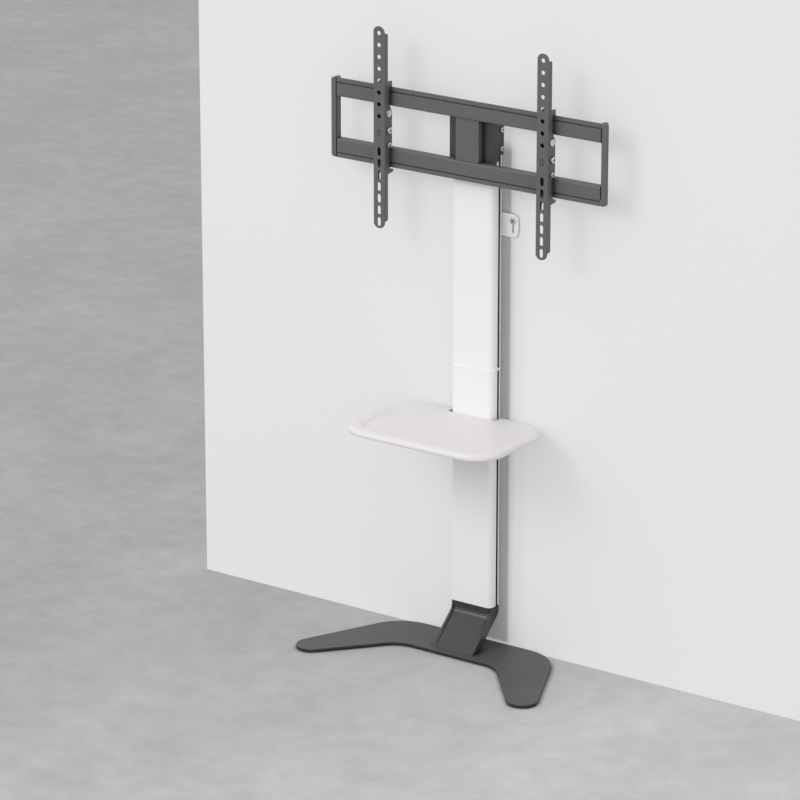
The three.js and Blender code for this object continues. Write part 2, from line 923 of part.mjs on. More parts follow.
// A ring at an inset; raised is the share of the rim's rise that it takes on
function trayRing([inset, z, raised]) {
  const half = trayHalfWidth - inset;
  const frontRadius = trayFrontRadius - inset;
  const rearRadius = trayRearRadius - inset;
  const shape = roundedShape([
    [-half, trayFrontY + inset, frontRadius],
    [half, trayFrontY + inset, frontRadius],
    [half, trayRearY - inset, rearRadius],
    [-half, trayRearY - inset, rearRadius],
  ]);
  const points = shape.extractPoints(round).shape.filter((point, index, all) => (
    point.distanceTo(all[(index + 1) % all.length]) > samePoint
  ));
  return points.map(({ x, y }) => new THREE.Vector3(x, y, z + raised * trayRim(y)));
}

function trayRings() {
  const lower = [];
  const upper = [];
  for (let step = 0; step <= trayRoundSteps; step += 1) {
    const turn = (step / trayRoundSteps) * Math.PI / 2;
    const fall = 1 - Math.cos(turn);
    const inward = 1 - Math.sin(turn);
    lower.push([trayLowerRound * inward, trayBottomZ + trayLowerRound * fall, 0]);
    upper.unshift([trayUpperReach * inward, trayTopZ - trayUpperHeight * fall, 1]);
  }
  const crest = trayRimWidth - trayRimSlope;
  return [
    ...lower,
    ...upper,
    [crest, trayTopZ, 1],
    [trayRimWidth - trayRimSlope / 2, trayTopZ, 0.5],
    [trayRimWidth, trayTopZ, 0],
  ];
}

function trayScrewPlaces() {
  const near = clampFrontY - trayScrewInset;
  const far = clampFrontY - bracketReach + trayScrewInset;
  return [near, far].flatMap((y) => [[-trayScrewX, y], [trayScrewX, y]]);
}

function shelfTray() {
  const slab = loft(trayRings().map(trayRing));
  const notch = extrudeUp(
    rectangle(
      -trayNotchHalfWidth,
      trayNotchHalfWidth,
      clampInnerY,
      trayRearY + columnDepth,
      trayNotchRadius,
    ),
    trayBottomZ - cutOverrun,
    trayTopZ + trayThickness,
  );
  const depth = trayScrewDepth + cutOverrun;
  const bores = trayScrewPlaces().map(([x, y]) => (
    rod('z', trayScrewRadius + boltGap, depth, x, y, trayBottomZ - cutOverrun)
  ));
  return cut(slab, notch, ...bores);
}

// Holes through a flange beside the groove, at the heights given
function flangeHoles(heights) {
  const length = 2 * (clampOuterX + cutOverrun);
  return heights.map((z) => (
    rod('x', clampScrewRadius + boltGap, length, -clampOuterX - cutOverrun, grooveCentreY, z)
  ));
}

function shelfScrewHeights() {
  return [bracketTopZ - shelfScrewDrop];
}

function headScrewHeights() {
  return [headCentreZ + clampUpperScrewRise, headCentreZ - clampLowerScrewDrop];
}

function shelfBracket() {
  const low = bracketTopZ - bracketDrop;
  const tipY = clampFrontY - bracketReach;
  const plate = box(-clampOuterX, clampOuterX, clampFrontY, clampInnerY, low, bracketTopZ);
  const flange = rectangle(
    clampInnerY - clampSheet / 2,
    clampInnerY + bracketFlangeReach,
    low + bracketFlangeDrop,
    bracketTopZ,
    clampFlangeRadius,
  );
  const top = box(
    -bracketHalfWidth,
    bracketHalfWidth,
    tipY,
    clampInnerY,
    bracketTopZ - bracketSheet,
    bracketTopZ,
  );
  const rib = roundedShape([
    [clampInnerY - clampSheet / 2, low],
    [clampInnerY - clampSheet / 2, bracketTopZ - bracketSheet / 2],
    [tipY, bracketTopZ - bracketSheet / 2],
    [tipY, bracketTopZ - bracketTipDrop],
  ]);
  const ribs = [-bracketRibX, bracketRibX].map((x) => (
    extrudeAcross(rib, x - bracketSheet / 2, x + bracketSheet / 2)
  ));
  const bores = trayScrewPlaces().map(([x, y]) => {
    const length = bracketSheet + 2 * cutOverrun;
    const z = bracketTopZ - bracketSheet - cutOverrun;
    return rod('z', trayScrewRadius + boltGap, length, x, y, z);
  });
  const body = join(
    plate,
    extrudeAcross(flange, -clampOuterX, -clampInnerX),
    extrudeAcross(flange, clampInnerX, clampOuterX),
    top,
    ...ribs,
  );
  return cut(body, ...bores, ...flangeHoles(shelfScrewHeights()));
}

function shelfTrayScrew([x, y]) {
  const geometry = screw({
    radius: trayScrewRadius,
    length: trayScrewLength,
    headRadius: trayScrewHeadRadius,
    headHeight: trayScrewHeadHeight,
    socket: { radius: trayScrewRadius, depth: trayScrewHeadHeight / 2 },
  });
  return placed(geometry, down, x, y, bracketTopZ - bracketSheet);
}

// Clamp screws and tee nuts on both flanks of the column
function teeNutX() {
  return columnHalf - grooveLip - slideGap - teeNutThickness;
}

function clampScrew(side, z) {
  const geometry = screw({
    radius: clampScrewRadius,
    length: clampOuterX - teeNutX() + slideGap,
    headRadius: clampScrewHeadRadius,
    headHeight: clampScrewHeadHeight,
    socket: { radius: clampSocketRadius, depth: clampSocketDepth },
    facets: round,
  });
  return placed(geometry, side > 0 ? right : left, side * clampOuterX, grooveCentreY, z);
}

// A bar in the groove that takes all the screws on its side
function teeNut(side, heights) {
  const half = grooveInnerWidth / 2 - 2 * slideGap - linerWall;
  const middle = side * (teeNutX() + teeNutThickness / 2);
  const bar = box(
    middle - teeNutThickness / 2,
    middle + teeNutThickness / 2,
    grooveCentreY - half,
    grooveCentreY + half,
    Math.min(...heights) - teeNutEnd,
    Math.max(...heights) + teeNutEnd,
  );
  return cut(bar, ...flangeHoles(heights));
}

// Column clamp: a front plate with a stepped flange on each side of the column
function clampFlange() {
  return roundedShape([
    [clampFrontY + clampSheet / 2, clampBottomZ],
    [clampFrontY + clampTailReach, clampBottomZ],
    [clampFrontY + clampTailReach, clampFlangeStepZ, clampSheet],
    [clampFrontY + clampFlangeStepReach, clampFlangeStepZ],
    [clampFrontY + clampFlangeStepReach, clampFlangeBottomZ],
    [clampFrontY + clampFlangeReach + clampSheet, clampFlangeBottomZ, clampFlangeRadius],
    [clampFrontY + clampFlangeReach + clampSheet, clampTopZ, clampFlangeRadius],
    [clampFrontY + clampSheet / 2, clampTopZ],
  ]);
}

function columnClamp() {
  const plate = box(-clampOuterX, clampOuterX, clampFrontY, clampInnerY, clampBottomZ, clampTopZ);
  const body = join(
    plate,
    extrudeAcross(clampFlange(), -clampOuterX, -clampInnerX),
    extrudeAcross(clampFlange(), clampInnerX, clampOuterX),
  );
  return cut(body, ...flangeHoles(headScrewHeights()));
}

function hubChannel() {
  const inner = hubHalfWidth - hubSheet;
  const lip = inner - hubLipWidth;
  const half = [
    [hubHalfWidth, hubFrontY, hubBendRadius],
    [hubHalfWidth, clampFrontY],
    [lip, clampFrontY],
    [lip, clampFrontY - hubSheet],
    [inner, clampFrontY - hubSheet],
    [inner, hubFrontY + hubSheet],
  ];
  const low = headCentreZ - hubHalfHeight;
  const high = headCentreZ + hubHalfHeight;
  return extrudeUp(roundedShape([...half, ...mirrored(half)]), low, high);
}

// Rail: a wall with a lip and a groove near its outer edge and a flange at its inner edge
function rail(outerZ, inward) {
  const grooveBottom = railLipHeight + railGrooveWidth;
  const grooveY = railFrontY + railGrooveDepth;
  const section = [
    [railBackY, 0],
    [railFrontY, 0],
    [railFrontY, railLipHeight],
    [grooveY, railLipHeight],
    [grooveY, grooveBottom],
    [railFrontY, grooveBottom],
    [railFrontY, railHeight, railBendRadius],
    [railFrontY + railFlangeDepth, railHeight],
    [railFrontY + railFlangeDepth, railHeight - railWall],
    [railBackY, railHeight - railWall, railBendRadius - railWall],
  ];
  const shape = roundedShape(section.map(([y, z, radius]) => [y, outerZ + inward * z, radius]));
  const bar = extrudeAcross(shape, -railHalfLength, railHalfLength);
  const half = hubHalfWidth + hubNotchGap;
  const innerZ = outerZ + inward * railHeight;
  const notch = box(
    -half,
    half,
    railBackY,
    railFrontY + railFlangeDepth + cutOverrun,
    innerZ - 2 * railWall,
    innerZ + 2 * railWall,
  );
  return cut(bar, notch);
}

// End cap: an upright with a shadow line in front, a slanted back and a plug in each rail
function endCap(side) {
  const innerX = side * endCapInnerX;
  const outerX = side * endCapOuterX;
  const rearY = railFrontY + endCapDepth;
  const frontView = extrudeBack(
    roundedShape([
      [innerX, railBottomZ],
      [outerX, railBottomZ, endCapCornerRadius],
      [outerX, railTopZ, endCapCornerRadius],
      [innerX, railTopZ],
    ]),
    railFrontY - cutOverrun,
    rearY + cutOverrun,
  );
  const lineX = innerX + side * endCapLineWidth;
  const lineY = railFrontY + endCapLineDepth;
  const plan = roundedShape([
    [innerX, lineY],
    [lineX, lineY],
    [lineX, railFrontY],
    [outerX, railFrontY, endCapEdgeRadius],
    [outerX, railFrontY + endCapOuterDepth],
    [innerX + side * endCapInnerWidth, rearY],
    [innerX, rearY],
  ]);
  const body = common(frontView, extrudeUp(plan, railBottomZ - cutOverrun, railTopZ + cutOverrun));
  const plugY = railBackY + slideGap;
  const plugX = innerX + side * endCapPlugRoot;
  const plugEnd = innerX - side * endCapPlugLength;
  const plugs = [[railTopZ, -1], [railBottomZ, 1]].map(([outerZ, inward]) => {
    const near = outerZ + inward * (railLipHeight + railGrooveWidth);
    const far = outerZ + inward * (railHeight - railWall - slideGap);
    return box(
      Math.min(plugEnd, plugX),
      Math.max(plugEnd, plugX),
      plugY,
      plugY + endCapPlugDepth,
      Math.min(near, far),
      Math.max(near, far),
    );
  });
  return join(body, ...plugs);
}

// Arm: a channel with holes, slots, an arrow and an ear round the bolts on each flank
function arrowOutline(inset) {
  const low = armCentreZ - arrowDrop - arrowHeight / 2;
  const high = low + arrowHeight;
  const shoulder = high - arrowHeadHeight;
  const half = arrowWidth / 2;
  const stem = arrowStemWidth / 2;
  const slope = arrowHeadHeight / half;
  const tipDrop = inset * Math.sqrt(1 + slope * slope);
  const barb = half - inset * (1 + Math.sqrt(1 + slope * slope)) / slope;
  return roundedShape([
    [0, high - tipDrop],
    [barb, shoulder + inset],
    [stem - inset, shoulder + inset],
    [stem - inset, low + inset],
    [inset - stem, low + inset],
    [inset - stem, shoulder + inset],
    [-barb, shoulder + inset],
  ]);
}

function armFlange() {
  const rearY = armFrontY + armFlangeDepth;
  const earY = armFrontY + earReach;
  const low = bottomHoleZ + armFlangeEndGap;
  const high = topHoleZ - armFlangeEndGap;
  const earTop = pivotZ + earRise;
  const earBottom = pivotZ - earDrop;
  return roundedShape([
    [armFrontY, low],
    [rearY, low, armFlangeCornerRadius],
    [rearY, earBottom - earTaper],
    [earY, earBottom, armFlangeCornerRadius],
    [earY, earTop, armFlangeCornerRadius],
    [rearY, earTop + earTaper],
    [rearY, high, armFlangeCornerRadius],
    [armFrontY, high],
  ]);
}

// A curved slot round the tilt pivot for a bolt hanging below it
function tiltSlot(drop, radius) {
  const half = radius + boltGap;
  const from = -Math.PI / 2 - tiltForward - tiltSpare;
  const to = -Math.PI / 2 + tiltBack + tiltSpare;
  const shape = new THREE.Shape();
  const end = (angle) => [pivotY + drop * Math.cos(angle), pivotZ + drop * Math.sin(angle)];
  shape.absarc(pivotY, pivotZ, drop + half, from, to, false);
  shape.absarc(...end(to), half, to, to + Math.PI, false);
  shape.absarc(pivotY, pivotZ, drop - half, to, from, true);
  shape.absarc(...end(from), half, from + Math.PI, from + 2 * Math.PI, false);
  return extrudeAcross(shape, -armWidth, armWidth);
}

function arm() {
  const plate = extrudeBack(
    capsule(0, bottomHoleZ - armHalf, topHoleZ + armHalf, armHalf),
    armFrontY,
    armFrontY + armSheet,
    coarse,
  );
  const inner = armHalf - armSheet;
  const flanges = [
    extrudeAcross(armFlange(), -armHalf, -inner),
    extrudeAcross(armFlange(), inner, armHalf),
  ];
  const farY = armFrontY + 2 * earReach;
  const bounds = roundedShape([
    [-armHalf, armFrontY, armBendRadius],
    [armHalf, armFrontY, armBendRadius],
    [armHalf, farY],
    [-armHalf, farY],
  ]);
  const channel = common(
    join(plate, ...flanges),
    extrudeUp(bounds, bottomHoleZ - armWidth, topHoleZ + armWidth),
  );
  const tools = [];
  const startY = armFrontY - cutOverrun;
  const endY = armFrontY + armSheet + cutOverrun;
  for (let row = 0; row < roundHoleRows; row += 1) {
    const z = topHoleZ - holePitch * row;
    tools.push(rod('y', armHoleRadius, endY - startY, 0, startY, z, round));
  }
  for (let row = 0; row < slotRows; row += 1) {
    const z = bottomHoleZ + holePitch * row;
    const slot = capsule(0, z - armSlotLength / 2, z + armSlotLength / 2, armSlotWidth / 2);
    tools.push(extrudeBack(slot, startY, endY));
  }
  const arrowEndY = armFrontY + arrowDepth;
  const arrow = cut(
    extrudeBack(arrowOutline(0), startY, arrowEndY),
    extrudeBack(arrowOutline(arrowLine), startY - cutOverrun, arrowEndY + cutOverrun),
  );
  tools.push(arrow);
  tools.push(rod('x', pivotRadius + boltGap, 2 * armWidth, -armWidth, pivotY, pivotZ, round));
  tools.push(tiltSlot(lockDrop, lockRadius));
  tools.push(tiltSlot(stayDrop, stayRadius));
  return cut(channel, ...tools);
}

// Hook bracket: two cheeks with a hook over the upper rail's lip and a claw under the
// lower rail, joined by a web behind the face of the arm
function hookCheek() {
  const frontY = armFrontY + hookWebDepth;
  const tailY = armFrontY + hookTailDepth;
  const restY = railFrontY - slideGap;
  const slotY = railBackY + slideGap;
  const fingerY = slotY + hookFingerThickness;
  const topZ = railTopZ + hookTopRise;
  const bulgeY = restY + hookBulge;
  const bulgeTop = windowTopZ - hookBulgeDrop;
  const bulgeBottom = windowBottomZ + hookBulgeDrop;
  const clawZ = railBottomZ - clawGap;
  const clawTipZ = clawZ - clawTipDrop + clawSlant / 2;
  return roundedShape([
    [frontY, headCentreZ + hookWebRise],
    [tailY, topZ - hookTopChamfer],
    [tailY + hookTopChamfer, topZ],
    [fingerY - hookTopChamfer / 2, topZ],
    [fingerY, topZ - hookTopChamfer / 2],
    [fingerY, railTopZ - hookFingerDrop],
    [slotY, railTopZ - hookFingerDrop],
    [slotY, railTopZ + slideGap],
    [restY, railTopZ + slideGap],
    [restY, bulgeTop],
    [bulgeY, bulgeTop - hookBulgeSlant, clawSlant],
    [bulgeY, bulgeBottom + hookBulgeSlant / 2, clawSlant],
    [restY, bulgeBottom],
    [restY, clawZ],
    [restY + clawSlant, clawZ - clawSlant],
    [restY + clawReach, clawTipZ],
    [restY + clawReach, clawTipZ - clawTipHeight],
    [tailY + hookTailWidth, railBottomZ - clawRootDrop],
    [tailY + hookTailWidth, railBottomZ - hookTailDrop],
    [tailY, railBottomZ - hookTailDrop],
    [tailY, headCentreZ - hookNeckDrop],
    [frontY, headCentreZ - hookWebDrop],
  ]);
}

function hookBracket() {
  const inner = hookHalfWidth - hookSheet;
  const cheeks = [
    extrudeAcross(hookCheek(), -hookHalfWidth, -inner),
    extrudeAcross(hookCheek(), inner, hookHalfWidth),
  ];
  const frontY = armFrontY + hookWebDepth;
  const web = box(
    -inner - hookSheet / 2,
    inner + hookSheet / 2,
    frontY,
    frontY + hookSheet,
    headCentreZ - hookWebDrop,
    headCentreZ + hookWebRise,
  );
  const [pivot, lock, stay] = tiltBolts();
  const through = [pivot, lock].map(({ radius, z }) => (
    rod('x', radius + boltGap, 2 * armWidth, -armWidth, pivotY, z, round)
  ));
  const nutX = inner - stayNutHeight;
  const nutLength = stayNutHeight + hookSheet / 2;
  const weldNut = rod('x', stay.radius + nutRim, nutLength, nutX, pivotY, stay.z, hexagon);
  const stayHole = rod('x', stay.radius + boltGap, armWidth, nutX - cutOverrun, pivotY, stay.z);
  return cut(join(...cheeks, web, weldNut), ...through, stayHole);
}

// The bolts on each bracket, their heads on the right: the pivot is a rivet, the lock bolt
// has a nut on the left, and the stay bolt ends in a nut welded inside the right cheek
function tiltBolts() {
  return [
    { radius: pivotRadius, z: pivotZ },
    { radius: lockRadius, z: pivotZ - lockDrop },
    { radius: stayRadius, z: pivotZ - stayDrop },
  ];
}

const boltSeatX = armHalf + slideGap;

function pivotRivet() {
  const [pivot] = tiltBolts();
  const length = 2 * boltSeatX + pivotTailHeight / 2;
  const head = screw({
    radius: pivot.radius,
    length,
    headRadius: pivotHeadRadius,
    headHeight: pivotHeadHeight,
    facets: round,
  });
  const tailZ = -2 * boltSeatX - pivotTailHeight;
  const tail = rod('z', pivotTailRadius, pivotTailHeight, 0, 0, tailZ, round);
  return placed(join(head, tail), right, boltSeatX, pivotY, pivot.z);
}

function lockBolt() {
  const lock = tiltBolts()[1];
  const geometry = screw({
    radius: lock.radius,
    length: 2 * boltSeatX + nutHeight,
    headRadius: lockHeadRadius,
    headHeight: lockHeadHeight,
    socket: { radius: lockSocketRadius, depth: lockSocketDepth },
    facets: round,
  });
  return placed(geometry, right, boltSeatX, pivotY, lock.z);
}

function lockNut() {
  const lock = tiltBolts()[1];
  const startX = -boltSeatX - nutHeight;
  const bore = nutHeight + 2 * cutOverrun;
  return cut(
    rod('x', lock.radius + nutRim, nutHeight, startX, pivotY, lock.z, hexagon),
    rod('x', lock.radius + boltGap, bore, startX - cutOverrun, pivotY, lock.z, round),
  );
}

function stayBolt() {
  const stay = tiltBolts()[2];
  const geometry = screw({
    radius: stay.radius,
    length: boltSeatX - hookHalfWidth + hookSheet + stayNutHeight + stayTipLength,
    headRadius: stayHeadRadius,
    headHeight: stayHeadHeight,
    socket: { radius: stay.radius, depth: stayHeadHeight / 2 },
    facets: round,
  });
  return placed(geometry, right, boltSeatX, pivotY, stay.z);
}

// Materials
function finish(color, roughness, metalness) {
  return { color, roughness, metalness };
}

const footSteel = finish(0x4a4a4b, 0.45, 0.3);
const neckCasting = finish(0x434344, 0.35, 0.3);
const darkSteel = finish(0x505052, 0.5, 0.3);
const darkPlastic = finish(0x4e4e50, 0.55, 0);
const columnWhite = finish(0xe9e9e8, 0.35, 0.05);
const whitePlastic = finish(0xeeeeec, 0.3, 0);
const trayWhite = finish(0xe6e3e3, 0.4, 0);
const anchorWhite = finish(0xe4e6e5, 0.35, 0.05);
const linerBlack = finish(0x121212, 0.6, 0);
const zincSteel = finish(0x8a8c90, 0.4, 0.9);
const brightSteel = finish(0xc4c6c8, 0.25, 0.95);
const rubberBlack = finish(0x1a1a1a, 0.85, 0);

// Assembly
const stand = new THREE.Group();
stand.position.y = -middleY;

function add(name, geometry, look, x = 0) {
  const mesh = new THREE.Mesh(geometry, new THREE.MeshStandardMaterial(look));
  mesh.name = name;
  mesh.position.x = x;
  stand.add(mesh);
}

const sides = [['left', -1], ['right', 1]];

add('base_plate', basePlate(), footSteel);
for (const [name, side] of sides) {
  add(`heel_pad_${name}`, footPad(side * padHeelX, plateRearY - padInset), rubberBlack);
  add(`toe_pad_${name}`, footPad(side * legTipX, legTipY), rubberBlack);
  add(`neck_screw_${name}`, neckScrew(side * neckScrewX), zincSteel);
  add(`groove_liner_lower_${name}`, grooveLiner(side, neckTopZ, ringBottomZ), linerBlack);
  add(`groove_liner_upper_${name}`, grooveLiner(side, ringTopZ, columnTopZ), linerBlack);
}
add('neck', neck(), neckCasting);
add('column_lower', columnLower(), columnWhite);
add('column_upper', columnUpper(), columnWhite);
add('joint_ring', jointRing(), whitePlastic);
add('joint_bar', jointBar(), zincSteel);
jointScrewPlaces().forEach((place, index) => {
  add(`joint_screw_${index + 1}`, barScrew(place), zincSteel);
});
spigotScrewPlaces().forEach((place, index) => {
  add(`spigot_screw_${index + 1}`, barScrew(place), zincSteel);
});
add('column_cap', columnCap(), whitePlastic);
add('wall_anchor', wallAnchor(), anchorWhite);
anchorScrewPlaces().forEach((place, index) => {
  add(`anchor_screw_${index + 1}`, anchorScrew(place), zincSteel);
});
add('wall_screw', wallScrew(), brightSteel);

add('shelf_tray', shelfTray(), trayWhite);
add('shelf_bracket', shelfBracket(), darkSteel);
trayScrewPlaces().forEach((place, index) => {
  add(`shelf_tray_screw_${index + 1}`, shelfTrayScrew(place), zincSteel);
});

add('column_clamp', columnClamp(), darkSteel);
add('hub_channel', hubChannel(), darkSteel);
add('rail_upper', rail(railTopZ, -1), darkSteel);
add('rail_lower', rail(railBottomZ, 1), darkSteel);
for (const [name, side] of sides) {
  add(`shelf_clamp_screw_${name}`, clampScrew(side, shelfScrewHeights()[0]), brightSteel);
  add(`shelf_tee_nut_${name}`, teeNut(side, shelfScrewHeights()), zincSteel);
  add(`head_screw_upper_${name}`, clampScrew(side, headScrewHeights()[0]), brightSteel);
  add(`head_screw_lower_${name}`, clampScrew(side, headScrewHeights()[1]), brightSteel);
  add(`head_tee_nut_${name}`, teeNut(side, headScrewHeights()), zincSteel);
  add(`end_cap_${name}`, endCap(side), darkPlastic);
}

for (const [name, side] of sides) {
  const x = side * armSpacing / 2;
  add(`hook_bracket_${name}`, hookBracket(), darkSteel, x);
  add(`pivot_rivet_${name}`, pivotRivet(), brightSteel, x);
  add(`lock_bolt_${name}`, lockBolt(), brightSteel, x);
  add(`lock_nut_${name}`, lockNut(), brightSteel, x);
  add(`stay_bolt_${name}`, stayBolt(), brightSteel, x);
  add(`arm_${name}`, arm(), darkSteel, x);
}

export default stand;
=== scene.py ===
"""Free-standing floor stand for a flat screen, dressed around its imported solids.

Shapes are drawn in millimetres: x to the right, y back from the middle of the column,
z up from the floor. Each finished piece is then set down in the frame, in metres.
"""
import math

import bmesh
import bpy
from mathutils import Matrix, Vector


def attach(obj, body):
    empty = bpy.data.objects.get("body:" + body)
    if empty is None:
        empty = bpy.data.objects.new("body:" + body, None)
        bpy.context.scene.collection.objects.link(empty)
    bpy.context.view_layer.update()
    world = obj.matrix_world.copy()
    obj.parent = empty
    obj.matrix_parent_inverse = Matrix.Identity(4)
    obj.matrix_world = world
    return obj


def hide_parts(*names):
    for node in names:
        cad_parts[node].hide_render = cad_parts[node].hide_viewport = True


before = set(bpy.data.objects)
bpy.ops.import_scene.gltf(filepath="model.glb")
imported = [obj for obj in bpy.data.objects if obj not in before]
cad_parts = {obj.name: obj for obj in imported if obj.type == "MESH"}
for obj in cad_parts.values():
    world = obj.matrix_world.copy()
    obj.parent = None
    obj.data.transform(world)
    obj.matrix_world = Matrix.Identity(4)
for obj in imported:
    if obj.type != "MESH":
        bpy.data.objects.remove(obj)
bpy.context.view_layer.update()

scene = bpy.context.scene

# ---------------- sizes, millimetres
MM = 0.001
COLUMN_BACK = 104.5           # the column's middle lies this far behind the origin
FACET = math.radians(6)       # one facet of a bend
SHARP = math.radians(34)      # a corner sharper than this stays crisp
WHEEL = 48                    # facets of a turned part
RIM_STEPS, DOME_STEPS, EDGE_STEPS, SLOPE_STEPS, THREAD_STEPS = 3, 6, 10, 10, 6
SAME_POINT = 0.0015           # points closer than this are one
HEAD_DOME, THREAD_DEPTH = 0.45, 0.22      # shares of a head's height and a thread's radius
WIDE_BORE, SLIM_BORE = 3.3, 2.8           # what the thick and the thin screws pass through
WELD_NUT, BOLT_GAP = 3.4, 0.3             # height of the bracket's nut, play round a bolt
SIDES = (("left", -1), ("right", 1))

FLOOR_GAP = 2                 # height of the rubber pads
PLATE_TOP = 8
HEEL, CROTCH = (194.5, 14, 96), (122.5, -100.5, 70)
TIP_X, TIP_Y, TIP_RADIUS = 266.5, -219, 32.6
PAD_RADIUS = 11
HEEL_PAD_X, HEEL_PAD_Y = 150, -16
PLATE_EDGE, SUNK_HEAD = 0.8, 3.1

NECK_FOOT_FRONT, NECK_FOOT_REAR = -85, -55
NECK_BEND, NECK_TOP, NECK_LIP = 74, 92.5, 82
NECK_FRONT_BEND_RADIUS, NECK_REAR_BEND_RADIUS = 24, 16
NECK_RIB, NECK_RECESS, NECK_WEB = 9, 3, 8
NECK_RECESS_BEND, NECK_BEND_FROM, NECK_BEND_STEP, NECK_BEND_STEPS = 21, NECK_BEND - 26, 2.2, 17
NECK_SCREW_X, NECK_SCREW_Y, NECK_SCREW_Z = 26, -63, 4.8
SPIGOT_TOP = 182.5

COLUMN_HALF, COLUMN_FRONT, COLUMN_REAR = 51.5, -16.5, 16.5
COLUMN_NOSE, COLUMN_HEEL = 11, 2.5
COLUMN_WALL, COLUMN_TOP = 2.2, 1160
GROOVE_Y, GROOVE_MOUTH, GROOVE_INNER, GROOVE_LIP, GROOVE_FLOOR = 7.75, 3.75, 6.8, 49.7, 41
RING_LOW, RING_HIGH, RING_PROUD = 616, 619.8, 0.6
CAP_HEIGHT, PLUG_DEPTH, PLUG_WALL = 4, 12, 2
TUBE_HALF, TUBE_FRONT, TUBE_REAR, TUBE_WALL = 35, -10, 14, 3
SPIGOT_SCREWS, JOINT_SCREWS = (118.5, 158.5), (577.9, 657.9)
REAR_HEAD_RADIUS, REAR_HEAD_HEIGHT = 5.5, 2.6

ANCHOR_Z, ANCHOR_HALF = 928.3, 24.75
ANCHOR_LEFT, ANCHOR_RIGHT, ANCHOR_PAD_RIGHT = -36, 90.5, 44
ANCHOR_FRONT, ANCHOR_REAR, ANCHOR_CORNER, ANCHOR_END = 18.3, 21.3, 4, 13
ANCHOR_SEAT, ANCHOR_SCREWS = ANCHOR_REAR - REAR_HEAD_HEIGHT, (-16, 24)
KEYHOLE_X, KEYHOLE_LOW, KEYHOLE_HALF, WALL_SCREW_Z = 77.5, 913, 2, 939.6

TRAY_TOP, TRAY_LOW, TRAY_RISE = 512.2, 503.5, 4.8
TRAY_HALF, TRAY_FRONT, TRAY_REAR, TRAY_CORNERS = 187.5, -241.5, 15, (67, 80)
TRAY_LOWER_ROUND, TRAY_UPPER_HEIGHT, TRAY_UPPER_REACH = 3, 5.5, 14
TRAY_CREST, TRAY_FLOOR_REACH = 25, 39
TRAY_FLUSH, TRAY_RAISED = -20, -130
TRAY_SIDE_STEPS = range(-170, -65, 6)
NOTCH_HALF, NOTCH_RADIUS = 59.5, 3
TRAY_SCREWS, TRAY_SCREW_DEPTH = [(x, y) for y in (-42.3, -166.3) for x in (-61, 61)], 7

SHEET = 3
CLAMP_INNER, CLAMP_OUTER = 52.3, 55.3
CLAMP_FRONT, CLAMP_BACK, CLAMP_TAIL, CLAMP_BEND, CLAMP_INNER_BEND = -20.3, -17.3, 30, 3.6, 0.6
BRACKET_TOP, BRACKET_DROP, BRACKET_REACH, BRACKET_HALF = 503.2, 62, 168, 72
BRACKET_RIB_X, BRACKET_TIP_DROP = 46, 14
SHELF_SCREW_Z = 469.2

HEAD_Z = 1110
CLAMP_HIGH, CLAMP_LOW = HEAD_Z + 48, HEAD_Z - 57
HEAD_SCREWS_Z = (HEAD_Z + 21, HEAD_Z - 19)
HUB_HALF, HUB_SHEET, HUB_HALF_HEIGHT, HUB_LIP, HUB_FRONT = 28.5, 2.5, 72, 14, -37.7
RAIL_FRONT, RAIL_WALL, RAIL_HALF = -40.5, 2.5, 323.4
RAIL_HIGH, RAIL_LOW, RAIL_HEIGHT = HEAD_Z + 85.5, HEAD_Z - 85.5, 40.6
RAIL_FLANGE, RAIL_BEND, RAIL_LIP, RAIL_LINE, RAIL_LINE_DEPTH = 16.5, 3.5, 8.8, 2.8, 2.1

END_INNER, END_OUTER, END_DEPTH, END_OUTER_DEPTH = 323.7, 338.7, 15.5, 5.5
END_BACK_WIDTH, END_CORNER, END_EDGE = 6.5, 9, 3.5
END_LINE, END_LINE_DEPTH = 2.2, 2.4

ARM_X, ARM_FRONT, ARM_HALF, ARM_SHEET = 200, -64, 14.25, 2
ARM_TOP_HOLE, ARM_LOW_HOLE, HOLE_PITCH = 1311, 911, 25
ARM_FLANGE, ARM_EAR, ARM_BEND = 12.5, 23.4, 2.2
ARM_HOLE, ARM_HOLES, ARM_SLOT, ARM_SLOTS, ARM_SLOT_LENGTH = 4.5, 8, 4, 7, 18.5
ARROW_LOW, ARROW_HEIGHT, ARROW_HALF, ARROW_STEM, ARROW_HEAD = 1094.5, 15, 6.75, 3.4, 7
ARROW_LINE, ARROW_DEPTH = 1.3, 1.4
BOLT_Y, PIVOT_Z, LOCK_Z, STAY_Z = -48.5, 1141, 1105, 1074
BOLT_SEAT = ARM_HALF + 0.3
HOOK_HALF, HOOK_SHEET, HOOK_FRONT = 11.75, 2.5, ARM_FRONT + 9.5
HOOK_LOW, HOOK_HIGH = HEAD_Z - 30, HEAD_Z + 80
TILT_DOWN, TILT_UP = math.radians(4.5), math.radians(3.5)

# radius, length, head radius, head height, socket radius, socket depth
PAN_SCREWS = {
    "plate": (3, 14, 5.2, 2.8, 3, 1.6),
    "rear": (3, 5.5, REAR_HEAD_RADIUS, REAR_HEAD_HEIGHT, 3, 1.6),
    "anchor": (3, ANCHOR_SEAT - 14, REAR_HEAD_RADIUS, REAR_HEAD_HEIGHT, 3, 1.6),
    "tray": (2.5, 8.5, 5, 2.4, 2.5, 1.4),
    "clamp": (2.5, 10.2, 5.5, 3.4, 2.6, 2.6),
    "lock": (3, 2 * BOLT_SEAT + 4, 7, 4.6, 3, 3.4),
    "stay": (2.5, BOLT_SEAT - HOOK_HALF + HOOK_SHEET + WELD_NUT + 1, 5.6, 2.8, 2.5, 2.1),
}
WALL_SCREW, WALL_SCREW_PITCH, WALL_SCREW_CROSS = (1.7, 25, 7, 2.6, 0, 1.7), 1.4, (1.9, 8.2)
CROSS_TURN = math.radians(12)
LOCK_NUT = (5.6, WIDE_BORE, 4)
